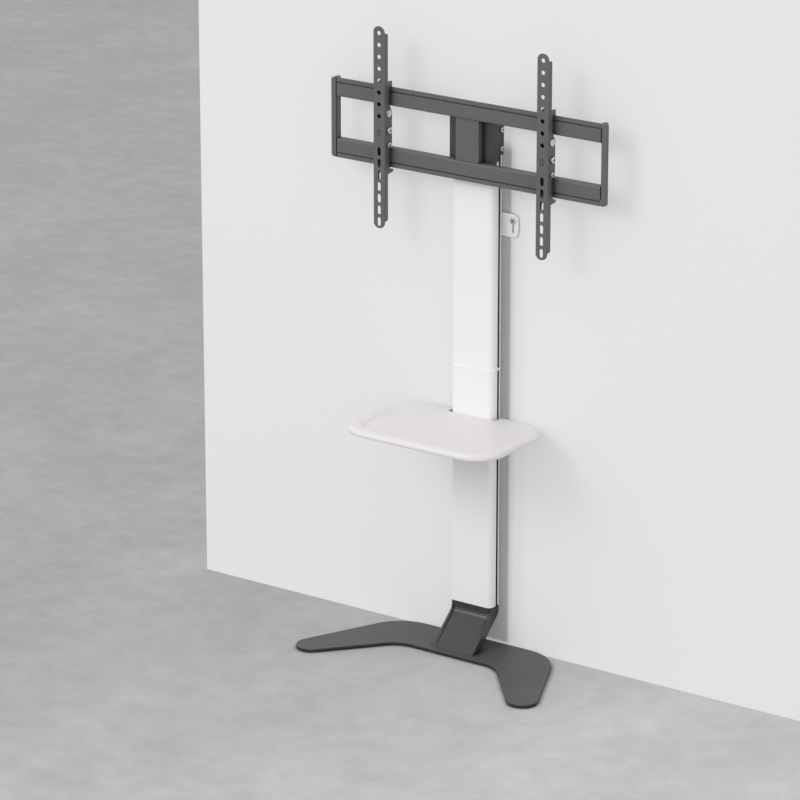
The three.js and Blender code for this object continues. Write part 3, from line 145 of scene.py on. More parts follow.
RIVET_HEAD, RIVET_RIM, RIVET_DOME = 8.2, 0.4, 2


def placed(name, data):
    """An object of the scene, from its mesh, light or camera."""
    made = bpy.data.objects.new(name, data)
    scene.collection.objects.link(made)
    return made


# ---------------- camera
EYE_PLACE, EYE_DOWN, EYE_ROUND = (4.7725, -7.0037, 3.4317), 18.65, 34.93    # metres, degrees
FILM_WIDTH, LENS_LENGTH, FARTHEST = 36, 195.3, 200


def set_camera():
    lens = bpy.data.cameras.new("photo_camera")
    lens.sensor_width, lens.lens, lens.clip_end = FILM_WIDTH, LENS_LENGTH, FARTHEST
    eye = placed("photo_camera", lens)
    eye.location = EYE_PLACE
    eye.rotation_euler = (math.radians(90 - EYE_DOWN), 0, math.radians(EYE_ROUND))
    scene.camera = eye


set_camera()


# ---------------- shader helpers
VALUE, VECTOR, COLOUR = "NodeSocketFloat", "NodeSocketVector", "NodeSocketColor"
MIDDLE_GREY = (0.5, 0.5, 0.5, 1)
CLOUD_ENDS = (0.3, 0.7)       # between these lies nearly all of a cloudy noise
GROUP_SAMPLES = 3


def add(tree, kind, inputs=None, **settings):
    """A node; each of its inputs is a value, or the output of another node to link."""
    made = tree.nodes.new(kind)
    for key, value in settings.items():
        setattr(made, key, value)
    for key, value in (inputs or {}).items():
        if isinstance(value, bpy.types.NodeSocket):
            tree.links.new(value, made.inputs[key])
        else:
            made.inputs[key].default_value = value
    return made


def maths(tree, operation, *values, clamp=False):
    return add(tree, "ShaderNodeMath", dict(enumerate(values)), operation=operation,
               use_clamp=clamp).outputs[0]


def vectors(tree, operation, first, second, result="Vector"):
    return add(tree, "ShaderNodeVectorMath", {0: first, 1: second},
               operation=operation).outputs[result]


def scaled(tree, colour, factor):
    return add(tree, "ShaderNodeVectorMath", {0: colour, "Scale": factor},
               operation="SCALE").outputs[0]


def mixed(tree, share, first, second, blend="MIX"):
    """The first colour, with the second laid over it by a share."""
    return add(tree, "ShaderNodeMix", {0: share, 6: first, 7: second}, data_type="RGBA",
               blend_type=blend).outputs[2]


def ranged(tree, source, ends, results=(0.0, 1.0), curve="LINEAR"):
    """A value taken from between two ends to between two results."""
    names = ("Value", "From Min", "From Max", "To Min", "To Max")
    return add(tree, "ShaderNodeMapRange", dict(zip(names, (source, *ends, *results))),
               interpolation_type=curve).outputs[0]


def here(tree):
    return add(tree, "ShaderNodeTexCoord").outputs["Object"]


def cloud(tree, place, scale, detail, roughness):
    return add(tree, "ShaderNodeTexNoise", {"Vector": place, "Scale": scale, "Detail": detail,
                                            "Roughness": roughness}).outputs["Fac"]


def new_group(name, *inputs):
    """A node group and its inputs by name; each input is (name, socket kind, default)."""
    tree = bpy.data.node_groups.new(name, "ShaderNodeTree")
    for label, kind, default in inputs:
        tree.interface.new_socket(label, in_out="INPUT", socket_type=kind).default_value = default
    return tree, tree.nodes.new("NodeGroupInput").outputs


def close_group(tree, *outputs):
    """Gives a group its outputs; each is (name, socket kind, source)."""
    for label, kind, _ in outputs:
        tree.interface.new_socket(label, in_out="OUTPUT", socket_type=kind)
    add(tree, "NodeGroupOutput", {label: source for label, _, source in outputs})
    return tree


def use(tree, group, values):
    return add(tree, "ShaderNodeGroup", values, node_tree=group).outputs


def grain_group():
    """Even fine texture of a sprayed or moulded skin, by the size of its grains."""
    tree, given = new_group("skin_grain", ("Grains per metre", VALUE, 900.0))
    place, scale = here(tree), given["Grains per metre"]
    peel = cloud(tree, place, scale, 2.0, 0.45)
    pits = add(tree, "ShaderNodeTexVoronoi", {"Vector": place, "Scale": scale},
               feature="SMOOTH_F1").outputs["Distance"]
    return close_group(tree, ("Height", VALUE, maths(tree, "MULTIPLY_ADD", pits, 0.35, peel)))


def patch_group():
    """Slow unevenness of a finish: a colour a little lighter and darker in patches."""
    tree, given = new_group("uneven_tone", ("Color", COLOUR, MIDDLE_GREY),
                            ("Patches per metre", VALUE, 9.0), ("Amount", VALUE, 0.1))
    patch = cloud(tree, here(tree), given["Patches per metre"], 5.0, 0.62)
    swing = maths(tree, "MULTIPLY", maths(tree, "SUBTRACT", patch, 0.5), given["Amount"])
    tone = scaled(tree, given["Color"], maths(tree, "ADD", swing, 1.0))
    return close_group(tree, ("Color", COLOUR, tone), ("Patch", VALUE, patch))


def rubbed_and_highlit_edge_group():
    """Mask of the corners, where a coat is thin and hands rub it, and where a painted highlight
    stands for light caught on the edge.
    """
    tree, given = new_group("rubbed_and_highlit_edges", ("Reach", VALUE, 0.001), ("Gain", VALUE, 3.0))
    soft = add(tree, "ShaderNodeBevel", {"Radius": given["Reach"]},
               samples=GROUP_SAMPLES).outputs[0]
    plain = add(tree, "ShaderNodeNewGeometry").outputs["Normal"]
    away = maths(tree, "SUBTRACT", 1.0, vectors(tree, "DOT_PRODUCT", soft, plain, "Value"))
    worn = maths(tree, "MULTIPLY", away, given["Gain"], clamp=True)
    broken = cloud(tree, here(tree), 55.0, 4.0, 0.7)
    return close_group(tree, ("Edge", VALUE, maths(tree, "MULTIPLY", worn, broken, clamp=True)))


def streak_group():
    """Long fine lines that a die, a brush or a lathe leaves along one direction."""
    tree, given = new_group("drawn_lines", ("Stretch", VECTOR, (600.0, 600.0, 4.0)))
    fine = cloud(tree, vectors(tree, "MULTIPLY", here(tree), given["Stretch"]), 1.0, 3.0, 0.6)
    return close_group(tree, ("Height", VALUE, fine),
                       ("Line", VALUE, ranged(tree, fine, (0.35, 0.65))))


def painted_gap_shade_group(name, alone):
    """Painted shade in seams, grooves and corners: a colour darkened where other surfaces stand
    near.
    """
    tree, given = new_group(name, ("Color", COLOUR, MIDDLE_GREY), ("Reach", VALUE, 0.01),
                            ("Closed", VALUE, 0.25), ("Open", VALUE, 0.75), ("Left", VALUE, 0.2))
    near = add(tree, "ShaderNodeAmbientOcclusion", {"Distance": given["Reach"]},
               samples=GROUP_SAMPLES, only_local=alone).outputs["AO"]
    left = ranged(tree, near, (given["Closed"], given["Open"]), (given["Left"], 1.0), "SMOOTHSTEP")
    return close_group(tree, ("Color", COLOUR, scaled(tree, given["Color"], left)))


GRAIN, PATCH, EDGE, STREAK = grain_group(), patch_group(), rubbed_and_highlit_edge_group(), streak_group()
OWN_GAP_SHADE = painted_gap_shade_group("painted_shade_in_own_seams", True)
ALL_GAP_SHADE = painted_gap_shade_group("painted_shade_between_pieces", False)


def linear(code):
    """A colour written as RRGGBB, in the light units that shaders take."""
    def channel(part):
        share = int(part, 16) / 255
        return share / 12.92 if share <= 0.04045 else ((share + 0.055) / 1.055) ** 2.4
    return (*(channel(code[i:i + 2]) for i in (0, 2, 4)), 1.0)


def toned(tree, colour, patches, uneven):
    return use(tree, PATCH, {"Color": colour, "Patches per metre": patches, "Amount": uneven})


def shaded_in_gaps(tree, colour, gap):
    """A colour darkened by painted shade in gaps; gap is (group, reach, closed, open, left)."""
    group, *levels = gap
    given = dict(zip(("Reach", "Closed", "Open", "Left"), levels), Color=colour)
    return use(tree, group, given)["Color"]


def bumped(tree, height, distance):
    return add(tree, "ShaderNodeBump", {"Height": height, "Distance": distance,
                                        "Strength": 1.0}).outputs[0]


def new_finish(name):
    material = bpy.data.materials.new(name)
    material.use_nodes = True
    material.node_tree.nodes.clear()
    return material, material.node_tree


def skin(tree, inputs):
    return add(tree, "ShaderNodeBsdfPrincipled", inputs).outputs[0]


def show(tree, surface):
    add(tree, "ShaderNodeOutputMaterial", {"Surface": surface})


def coated(name, colour, edge_colour, rough, grains, peel, patches, uneven, gap, rub=0.6,
           gloss=0.5):
    """Sprayed or moulded skin: fine grain, slow patches, corners a little lighter as rubbed wear
    and a painted highlight, and painted shade in its seams.
    """
    material, tree = new_finish(name)
    tone = toned(tree, linear(colour), patches, uneven)
    fleck = toned(tree, tone["Color"], grains / 3, uneven * 1.2)
    edge = use(tree, EDGE, {"Reach": 0.0012, "Gain": 4.0 * rub})["Edge"]
    grain = use(tree, GRAIN, {"Grains per metre": grains})["Height"]
    coat = mixed(tree, edge, fleck["Color"], linear(edge_colour))
    show(tree, skin(tree, {"Base Color": shaded_in_gaps(tree, coat, gap), "Specular IOR Level": gloss,
                           "Roughness": ranged(tree, tone["Patch"], CLOUD_ENDS, rough),
                           "Normal": bumped(tree, grain, peel)}))
    return material


def drawn_white(name, colour, edge_colour, rough):
    """White satin coat over drawn aluminium: the die's long lines just show through; corners a
    little lighter as rubbed wear and a painted highlight, and painted shade in its grooves.
    """
    material, tree = new_finish(name)
    tone = toned(tree, linear(colour), 5.0, 0.03)["Color"]
    lines = use(tree, STREAK, {"Stretch": (420.0, 420.0, 2.5)})["Height"]
    edge = use(tree, EDGE, {"Reach": 0.0015, "Gain": 1.5})["Edge"]
    coat = mixed(tree, edge, tone, linear(edge_colour))
    show(tree, skin(tree, {"Base Color": shaded_in_gaps(tree, coat, PALE_GAP_SHADE),
                           "Roughness": ranged(tree, lines, CLOUD_ENDS, rough),
                           "Normal": bumped(tree, lines, 0.00003)}))
    return material


def plated(name, colour, dull_colour, rough, stretch, mark):
    """Plated steel: bright metal with fine tool lines and cloudy passivation, and painted shade in
    its sockets and seams.
    """
    material, tree = new_finish(name)
    tone = toned(tree, linear(colour), 160.0, 0.25)
    lines = use(tree, STREAK, {"Stretch": stretch})
    metal = mixed(tree, maths(tree, "MULTIPLY", lines["Line"], 0.5), tone["Color"],
                  linear(dull_colour))
    show(tree, skin(tree, {"Base Color": shaded_in_gaps(tree, metal, BOLT_GAP_SHADE), "Metallic": 1.0,
                           "Roughness": ranged(tree, tone["Patch"], CLOUD_ENDS, rough),
                           "Normal": bumped(tree, lines["Height"], mark)}))
    return material


# Painted shade in seams, grooves and corners for each finish: group, reach, closed, open, left
DARK_GAP_SHADE = (ALL_GAP_SHADE, 0.012, 0.3, 0.92, 0.05)
FOOT_GAP_SHADE = (ALL_GAP_SHADE, 0.016, 0.55, 0.99, 0.1)
NECK_GAP_SHADE = (ALL_GAP_SHADE, 0.008, 0.5, 0.97, 0.15)
BOLT_GAP_SHADE = (OWN_GAP_SHADE, 0.006, 0.45, 0.9, 0.03)
PALE_GAP_SHADE = (OWN_GAP_SHADE, 0.006, 0.1, 0.5, 0.45)
TRAY_GAP_SHADE = (OWN_GAP_SHADE, 0.016, 0.6, 0.98, 0.8)

# name, colour, corners (rubbed wear and painted highlight), roughness, grains per metre, their
# height, patches per metre, unevenness, painted shade in gaps
FINISHES = {
    "foot_steel": coated("foot_powder_coat", "4b4b4b", "585858", (0.42, 0.56), 1100, 0.00006, 7,
                         0.14, FOOT_GAP_SHADE, rub=0.2),
    "neck_steel": coated("neck_satin_paint", "2a2a2a", "505050", (0.2, 0.28), 700, 0.00001, 11,
                         0.1, NECK_GAP_SHADE, gloss=0.7),
    "dark_steel": coated("frame_powder_coat", "5d5d5d", "7a7a7a", (0.42, 0.56), 1300, 0.00005, 9,
                         0.12, DARK_GAP_SHADE),
    # A darker coat over the whole head clamp: painted shade for the shadow the hub casts on its
    # right part
    "clamp_steel_painted_shade": coated("clamp_powder_coat_painted_shade", "3c3c3c", "606060", (0.42, 0.56), 1300, 0.00005, 9,
                          0.12, DARK_GAP_SHADE),
    "dark_plastic": coated("cap_moulded_grey", "5e5e5e", "707070", (0.45, 0.6), 1700, 0.00004, 12,
                           0.08, DARK_GAP_SHADE),
    "column_white": drawn_white("column_satin_white", "eeeeed", "f6f6f5", (0.34, 0.5)),
    "white_plastic": coated("moulded_white", "f4f4f3", "fafafa", (0.28, 0.4), 1500, 0.00002, 9,
                            0.03, PALE_GAP_SHADE),
    "tray_white": coated("tray_white", "dcd8d9", "eceaea", (0.36, 0.5), 1500, 0.00004, 6, 0.035,
                         TRAY_GAP_SHADE),
    "anchor_white": coated("anchor_powder_white", "e4e6e5", "f2f3f3", (0.34, 0.46), 1200, 0.00003,
                           14, 0.04, PALE_GAP_SHADE),
    "liner_black": coated("groove_liner_black", "141414", "262626", (0.5, 0.7), 1400, 0.00005, 10,
                          0.3, DARK_GAP_SHADE),
    "zinc_steel": plated("zinc_plate", "9a9ca0", "6e7074", (0.32, 0.48), (90.0, 90.0, 90.0),
                         0.00002),
    "bright_steel": plated("bright_nickel", "e8e8e9", "a8a9ab", (0.2, 0.34),
                           (60.0, 900.0, 900.0), 0.00001),
    "rubber_black": coated("pad_rubber", "1b1b1b", "2b2b2b", (0.75, 0.92), 900, 0.0001, 20, 0.3,
                           DARK_GAP_SHADE),
}


def dress_nodes():
    """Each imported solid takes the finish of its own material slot."""
    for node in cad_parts.values():
        for holder in node.material_slots:
            holder.material = FINISHES[holder.material.name.split(".")[0]]


dress_nodes()


# ---------------- shaping
PLACE = Matrix.Translation((0, COLUMN_BACK * MM, 0)) @ Matrix.Scale(MM, 4)
ALONG = {
    "x": lambda across, up, reach: (reach, across, up),
    "y": lambda across, up, reach: (across, reach, up),
    "z": lambda across, back, reach: (across, back, reach),
}
UP, DOWN, RIGHT, LEFT, FRONT, REAR = (
    (0, 0, 1), (0, 0, -1), (1, 0, 0), (-1, 0, 0), (0, -1, 0), (0, 1, 0)
)


def rounded(corners):
    """An outline through corners (x, y, radius); a corner without a radius stays sharp."""
    points = []
    for index, (x, y, *radius) in enumerate(corners):
        here = Vector((x, y))
        if not radius:
            points.append(here)
            continue
        back = (Vector(corners[index - 1][:2]) - here).normalized()
        ahead = (Vector(corners[(index + 1) % len(corners)][:2]) - here).normalized()
        half = back.angle(ahead) / 2
        middle = here + (back + ahead).normalized() * (radius[0] / math.sin(half))
        start = here + back * (radius[0] / math.tan(half)) - middle
        sweep = (math.pi - 2 * half) * (-1 if back.cross(ahead) > 0 else 1)
        steps = max(2, round(abs(sweep) / FACET))
        points += [middle + Matrix.Rotation(sweep * step / steps, 2) @ start
                   for step in range(steps + 1)]
    return [point for index, point in enumerate(points)
            if (point - points[index - 1]).length > SAME_POINT]


def mirrored(corners):
    return [(-x, *rest) for x, *rest in reversed(corners)]


def paired(corners):
    """An outline through the corners of one side and their mirror images."""
    return rounded(corners + mirrored(corners))


def quarter(steps):
    """Points (across, up) of a quarter circle of radius one, from its side to its top."""
    return arc(0, 0, 1, 0, math.pi / 2, steps)


def eased(share):
    return share * share * (3 - 2 * share)


def rectangle(x0, x1, y0, y1, *radius):
    return rounded([(x0, y0, *radius), (x1, y0, *radius), (x1, y1, *radius), (x0, y1, *radius)])


def arc(x, y, radius, start, end, steps):
    turns = [start + (end - start) * step / steps for step in range(steps + 1)]
    return [Vector((x + radius * math.cos(turn), y + radius * math.sin(turn))) for turn in turns]


def circle(x, y, radius, points=WHEEL):
    return arc(x, y, radius, 0, 2 * math.pi, points)[:-1]


def inset(outline, reach):
    """The outline drawn in by reach on every side, or out where reach is below zero."""
    turning = sum(here.cross(after) for here, after in zip(outline, outline[1:] + outline[:1]))
    side = reach if turning > 0 else -reach
    drawn = []
    for index, here in enumerate(outline):
        before = (here - outline[index - 1]).normalized()
        after = (outline[(index + 1) % len(outline)] - here).normalized()
        away = (before + after).orthogonal()
        drawn.append(here + away * (side / (1 + before.dot(after))))
    return drawn


def loft(rings):
    """A closed body through rings of equally many points."""
    shape = bmesh.new()
    loops = [[shape.verts.new(point) for point in ring] for ring in rings]
    for low, high in zip(loops, loops[1:]):
        for index in range(len(low)):
            shape.faces.new((low[index - 1], low[index], high[index], high[index - 1]))
    shape.faces.new(loops[0][::-1])
    shape.faces.new(loops[-1])
    bmesh.ops.recalc_face_normals(shape, faces=shape.faces)
    return shape


def extruded(outline, axis, levels):
    """An outline drawn out along an axis; each level is (how far drawn in, place)."""
    return loft([[ALONG[axis](*point, level) for point in inset(outline, reach)]
                 for reach, level in levels])


def prism(outline, axis, low, high, edge=0.0):
    """An outline drawn out along an axis, with its two rims rounded off by edge."""
    rim = [(edge * (1 - up), edge * (1 - across)) for across, up in quarter(RIM_STEPS)[:-1]]
    rim = (rim if edge else []) + [(0.0, edge)]
    levels = [(reach, low + rise) for reach, rise in rim]
    return extruded(outline, axis, levels + [(reach, high - rise) for reach, rise in rim[::-1]])


def opening(outline, axis, low, high, flare):
    """A cutter for a hole through a sheet from low to high, flared at both faces."""
    return extruded(outline, axis, [(-flare - 1, low - 1), (0.0, low + flare), (0.0, high - flare),
                                    (-flare - 1, high + 1)])


def wheels(profile):
    """Rings about the z axis through (radius, height) pairs."""
    return [[(*point, height) for point in circle(0, 0, radius)] for radius, height in profile]


def turned(profile):
    """A round body about the z axis through (radius, height) pairs, from the bottom up."""
    return loft(wheels(profile))


def rod(axis, x, y, radius, low, high):
    """A plain round cutter along an axis, centred on a point of the plane across it."""
    return prism(circle(x, y, radius), axis, low, high)


def moved(shape, matrix):
    twin = shape.copy()
    bmesh.ops.transform(twin, matrix=matrix, verts=twin.verts)
    return twin


def facing(shape, way, x, y, z):
    """The shape with its +z turned to a way, and its origin set down on a point."""
    turn = Vector(UP).rotation_difference(Vector(way)).to_matrix().to_4x4()
    return moved(shape, Matrix.Translation((x, y, z)) @ turn)


def loose(shape):
    """An unfinished object that holds a shape while it is worked on."""
    mesh = bpy.data.meshes.new("shape_in_work")
    shape.to_mesh(mesh)
    return placed("shape_in_work", mesh)


def combined(operation, body, tools):
    work = loose(body)
    others = [loose(tool) for tool in tools]
    for other in others:
        step = work.modifiers.new("combine", "BOOLEAN")
        step.operation, step.solver, step.object = operation, "MANIFOLD", other
    shape = bmesh.new()
    shape.from_object(work, bpy.context.evaluated_depsgraph_get())
    for used in [work, *others]:
        mesh = used.data
        bpy.data.objects.remove(used)
        bpy.data.meshes.remove(mesh)
    return shape


def cut(body, *tools):
    return combined("DIFFERENCE", body, tools)


def joined(body, *others):
    return combined("UNION", body, others)


def common(body, other):
    return combined("INTERSECT", body, [other])


def piece(name, shape, body, slot, *nodes, finish=None):
    """Sets a finished shape down in the frame, on its body and in place of its nodes."""
    mesh = bpy.data.meshes.new(name)
    moved(shape, PLACE).to_mesh(mesh)
    mesh.polygons.foreach_set("use_smooth", [True] * len(mesh.polygons))
    mesh.set_sharp_from_angle(angle=SHARP)
    mesh.materials.append(FINISHES[finish or slot])
    made = placed(name, mesh)
    made.modifiers.new("even_faces", "WEIGHTED_NORMAL").keep_sharp = True
    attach(made, body)
    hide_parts(*nodes)


# ---------------- fasteners
def thread(radius, pitch, length):
    """Rings of a screw thread down to its tapered end; the ridge climbs round the shank."""
    rings = []
    count = round(length / pitch * THREAD_STEPS)
    for step in range(count + 1):
        height = -length + length * step / count
        taper = min(1.0, 0.25 + (height + length) / (2.2 * radius))
        ring = []
        for index, (x, y) in enumerate(circle(0, 0, radius * taper)):
            climb = (height / pitch - index / WHEEL) % 1.0
            left = 1 - THREAD_DEPTH * abs(2 * climb - 1)
            ring.append((x * left, y * left, height))
        rings.append(ring)
    return rings


def screw(radius, length, head, height, socket=0.0, depth=0.0, pitch=0.0, cross=()):
    """A screw with its seat on the origin, its shank down and its domed head up."""
    dome = height * HEAD_DOME
    profile = [(radius, -0.2), (radius, 0), (head - 0.25, 0), (head, 0.25)]
    profile += [(head - dome + dome * across, height - dome + dome * up)
                for across, up in quarter(DOME_STEPS)]
    tip = ((radius - 0.4, -length), (radius, -length + 0.4))
    rings = thread(radius, pitch, length)[:-1] if pitch else wheels(tip)
    shape = loft(rings + wheels(profile))
    floor = height - depth
    if socket:
        key = prism(circle(0, 0, socket, 6), "z", floor, height + 1)
        lead = turned([(socket * 0.86, height - 0.35), (socket * 1.06 + 1, height + 0.8)])
        return cut(shape, key, lead)
    if cross:
        wide, long = cross
        square = ((-1, -1), (1, -1), (1, 1), (-1, 1))
        blades = [loft([[(across * x, back * y, z) for x, y in square]
                        for across, back, z in ((a * 0.6, b * 0.55, floor), (a, b, height + 0.5))])
                  for a, b in ((wide / 2, long / 2), (long / 2, wide / 2))]
        return cut(shape, *blades)
    return shape


def hex_nut(across, bore, height):
    """A hexagon nut on the origin, its corners turned off at both ends."""
    hexagon = prism(circle(0, 0, across, 6), "z", 0, height)
    lathe = turned([(across * 0.86, 0), (across * 1.02, 0.9), (across * 1.02, height - 0.9),
                    (across * 0.86, height)])
    hole = turned([(bore + 1.4, -1), (bore, 0.4), (bore, height - 0.4), (bore + 1.4, height + 1)])
    return cut(common(hexagon, lathe), hole)


def set_down(label, node, shape, body, slot, way, places):
    """Copies of one fastener; places gives the end of each name and its point."""
    for ending, place in places:
        piece(f"{label}_{ending}", facing(shape, way, *place), body, slot, f"{node}_{ending}")


def add_screws():
    pan = {name: screw(*sizes) for name, sizes in PAN_SCREWS.items()}
    set_down("plate_screw", "neck_screw", pan["plate"], "stand", "zinc_steel", DOWN, [
        (side, (sign * NECK_SCREW_X, NECK_SCREW_Y, NECK_SCREW_Z)) for side, sign in SIDES])
    for name, heights in (("spigot", SPIGOT_SCREWS), ("joint", JOINT_SCREWS)):
        set_down(f"{name}_pan_screw", f"{name}_screw", pan["rear"], "stand", "zinc_steel", REAR,
                 enumerate([(0, COLUMN_REAR, z) for z in heights], 1))
    set_down("anchor_pan_screw", "anchor_screw", pan["anchor"], "stand", "zinc_steel", REAR,
             enumerate([(x, ANCHOR_SEAT, ANCHOR_Z) for x in ANCHOR_SCREWS], 1))
    cross_head = moved(screw(*WALL_SCREW, pitch=WALL_SCREW_PITCH, cross=WALL_SCREW_CROSS),
                       Matrix.Rotation(CROSS_TURN, 4, "Z"))
    piece("wall_screw_cross_head",
          facing(cross_head, FRONT, KEYHOLE_X, ANCHOR_FRONT - BOLT_GAP, WALL_SCREW_Z), "stand",
          "bright_steel", "wall_screw")
    set_down("tray_pan_screw", "shelf_tray_screw", pan["tray"], "shelf", "zinc_steel", DOWN,
             enumerate([(x, y, BRACKET_TOP - SHEET) for x, y in TRAY_SCREWS], 1))
    for (side, sign), way in zip(SIDES, (LEFT, RIGHT)):
        x = sign * CLAMP_OUTER
        set_down("shelf_socket_screw", "shelf_clamp_screw", pan["clamp"], "shelf", "bright_steel",
                 way, [(side, (x, GROOVE_Y, SHELF_SCREW_Z))])
        set_down("head_socket_screw", "head_screw", pan["clamp"], "head", "bright_steel", way, [
            (f"{place}_{side}", (x, GROOVE_Y, z))
            for place, z in zip(("upper", "lower"), HEAD_SCREWS_Z)])


def rivet():
    """The arm's pivot: a low dome, a shank across the arm and an upset tail."""
    span = 2 * BOLT_SEAT
    dome = [(RIVET_HEAD * across, RIVET_RIM + RIVET_DOME * up)
            for across, up in quarter(EDGE_STEPS)]
    return turned([(4.4, -span - 2), (5, -span - 1.5), (5, -span), (3, -span), (3, 0),
                   (RIVET_HEAD - RIVET_RIM, 0), *dome[:-1]])


def add_tilt_bolts():
    bolts = (("rivet", "pivot_rivet", rivet(), RIGHT, PIVOT_Z),
             ("lock", "lock_bolt", screw(*PAN_SCREWS["lock"]), RIGHT, LOCK_Z),
             ("stay", "stay_bolt", screw(*PAN_SCREWS["stay"]), RIGHT, STAY_Z),
             ("nut", "lock_nut", hex_nut(*LOCK_NUT), LEFT, LOCK_Z))
    for side, sign in SIDES:
        for name, node, shape, way, z in bolts:
            set_down(f"tilt_{name}", node, shape, f"hook_{side}", "bright_steel", way,
                     [(side, (sign * ARM_X + way[0] * BOLT_SEAT, BOLT_Y, z))])


# ---------------- foot and neck
def neck_bores(profile):
    bore = turned(profile)
    return [facing(bore, UP, sign * NECK_SCREW_X, NECK_SCREW_Y, 0) for _, sign in SIDES]


def foot_plate():
    """A boomerang of plate with two legs forward, its screws sunk from below."""
    def touch(corner, side):
        reach = Vector((TIP_X - corner[0], TIP_Y - corner[1]))
        return math.atan2(reach.y, reach.x) + side * math.asin(TIP_RADIUS / reach.length)
    start, end = touch(HEEL, 1) + math.pi / 2, touch(CROTCH, -1) - math.pi / 2
    half = [HEEL, *arc(TIP_X, TIP_Y, TIP_RADIUS, start, end, WHEEL), CROTCH]
    plate = prism(paired(half), "z", FLOOR_GAP, PLATE_TOP, PLATE_EDGE)
    sunk = FLOOR_GAP + SUNK_HEAD
    return cut(plate, *neck_bores([(6.7, FLOOR_GAP - 1), (5.5, FLOOR_GAP + 0.3), (5.5, sunk),
                                   (WIDE_BORE, sunk), (WIDE_BORE, PLATE_TOP + 1)]))


def rubber_pad():
    """A stuck-on foot with a rounded rim and a ring sunk in its sole."""
    pad = turned([(PAD_RADIUS - 0.7, 0), (PAD_RADIUS - 0.2, 0.25), (PAD_RADIUS, 0.8),
                  (PAD_RADIUS, FLOOR_GAP)])
    ring = cut(turned([(7, -1), (6.4, 0.6)]), turned([(4.4, -2), (5, 1)]))
    return cut(pad, ring)


def neck_face(z, corner_y, foot_y, radius):
    """How far back one face of the neck lies at a height, round its bend."""
    slope = (NECK_BEND - PLATE_TOP) / (corner_y - foot_y)
    turn = math.pi / 2 - math.atan(slope)
    top = NECK_BEND + radius * math.tan(turn / 2)
    if z >= top:
        return corner_y
    if z <= top - radius * math.sin(turn):
        return corner_y - (NECK_BEND - z) / slope
    return corner_y - radius + math.sqrt(radius ** 2 - (top - z) ** 2)


def neck_ring(z):
    grown = min(1.0, (z - PLATE_TOP) / (NECK_BEND - PLATE_TOP))
    corner = 0.6 + (COLUMN_NOSE - 0.6) * grown
    front = neck_face(z, COLUMN_FRONT, NECK_FOOT_FRONT, NECK_FRONT_BEND_RADIUS)
    rear = neck_face(z, COLUMN_REAR, NECK_FOOT_REAR, NECK_REAR_BEND_RADIUS)
    outline = rounded([(-COLUMN_HALF, front, corner), (COLUMN_HALF, front, corner),
                       (COLUMN_HALF, rear, COLUMN_HEEL), (-COLUMN_HALF, rear, COLUMN_HEEL)])
    return [(*point, z) for point in outline]


def tube(low, high):
    """The box section inside the column's joints, with soft corners."""
    outer = rectangle(-TUBE_HALF, TUBE_HALF, TUBE_FRONT, TUBE_REAR, 2)
    return cut(prism(outer, "z", low, high, 0.5),
               prism(inset(outer, TUBE_WALL), "z", low - 1, high + 1))


def rear_bore(x, z):
    return rod("y", x, z, WIDE_BORE, TUBE_REAR - 5, COLUMN_REAR + 2)


def rear_bores(heights):
    return [rear_bore(0, z) for z in heights]


def neck_casting():
    """The dog-leg between foot and column: a sunk front between ribs, hollow behind."""
    slope = (NECK_BEND - PLATE_TOP) / (COLUMN_FRONT - NECK_FOOT_FRONT)
    bend = [NECK_BEND_FROM + NECK_BEND_STEP * step for step in range(NECK_BEND_STEPS)]
    levels = [PLATE_TOP, *bend, NECK_TOP]
    drop = NECK_RECESS * (math.hypot(1, slope) - slope)
    foot = NECK_FOOT_FRONT + 0.8
    floor = COLUMN_FRONT + NECK_RECESS
    inner = COLUMN_HALF - NECK_RIB
    recess = rounded([(foot - 5, PLATE_TOP - 5 * slope),
                      (floor, NECK_BEND - drop, NECK_RECESS_BEND), (floor, NECK_LIP),
                      (NECK_FOOT_FRONT - 5, NECK_LIP), (NECK_FOOT_FRONT - 5, PLATE_TOP)])

    def wall(z):
        return NECK_FOOT_FRONT + (NECK_RECESS + NECK_WEB) * math.sqrt(2) + (z - PLATE_TOP) / slope
    low, high = PLATE_TOP + 13, NECK_TOP - 19
    pocket = rounded([(wall(low), low, 3), (COLUMN_REAR + 5, low), (COLUMN_REAR + 5, high),
                      (wall(high), high, 3)])
    bores = neck_bores([(WIDE_BORE, PLATE_TOP - 1), (WIDE_BORE, 19)])
    block = cut(loft([neck_ring(z) for z in levels]),
                prism(recess, "x", -inner, inner), prism(pocket, "x", -inner, inner, 2), *bores)
    spigot = cut(tube(NECK_LIP, SPIGOT_TOP), *rear_bores(SPIGOT_SCREWS))
    return joined(block, spigot)


def add_foot():
    piece("foot_boomerang", foot_plate(), "stand", "foot_steel", "base_plate")
    pad = rubber_pad()
    for side, sign in SIDES:
        for place, x, y in (("heel", HEEL_PAD_X, HEEL_PAD_Y), ("toe", TIP_X, TIP_Y)):
            piece(f"{place}_rubber_{side}", facing(pad, UP, sign * x, y, 0), "stand",
                  "rubber_black", f"{place}_pad_{side}")
    piece("neck_casting", neck_casting(), "stand", "neck_steel", "neck")


# ---------------- column
def column_outline(grow=0.0):
    half = COLUMN_HALF + grow
    return paired([(half, COLUMN_FRONT - grow, COLUMN_NOSE + grow),
                   (half, COLUMN_REAR + grow, COLUMN_HEEL + grow)])


def column_cavity():
    rib = GROOVE_FLOOR - 1.6
    step = GROOVE_Y - GROOVE_INNER - 1.6
    half = [(COLUMN_HALF - COLUMN_WALL, COLUMN_FRONT + COLUMN_WALL, COLUMN_NOSE - COLUMN_WALL),
            (COLUMN_HALF - COLUMN_WALL, step, 0.8), (rib, step, 0.8),
            (rib, COLUMN_REAR - COLUMN_WALL, 0.8)]
    return paired(half)


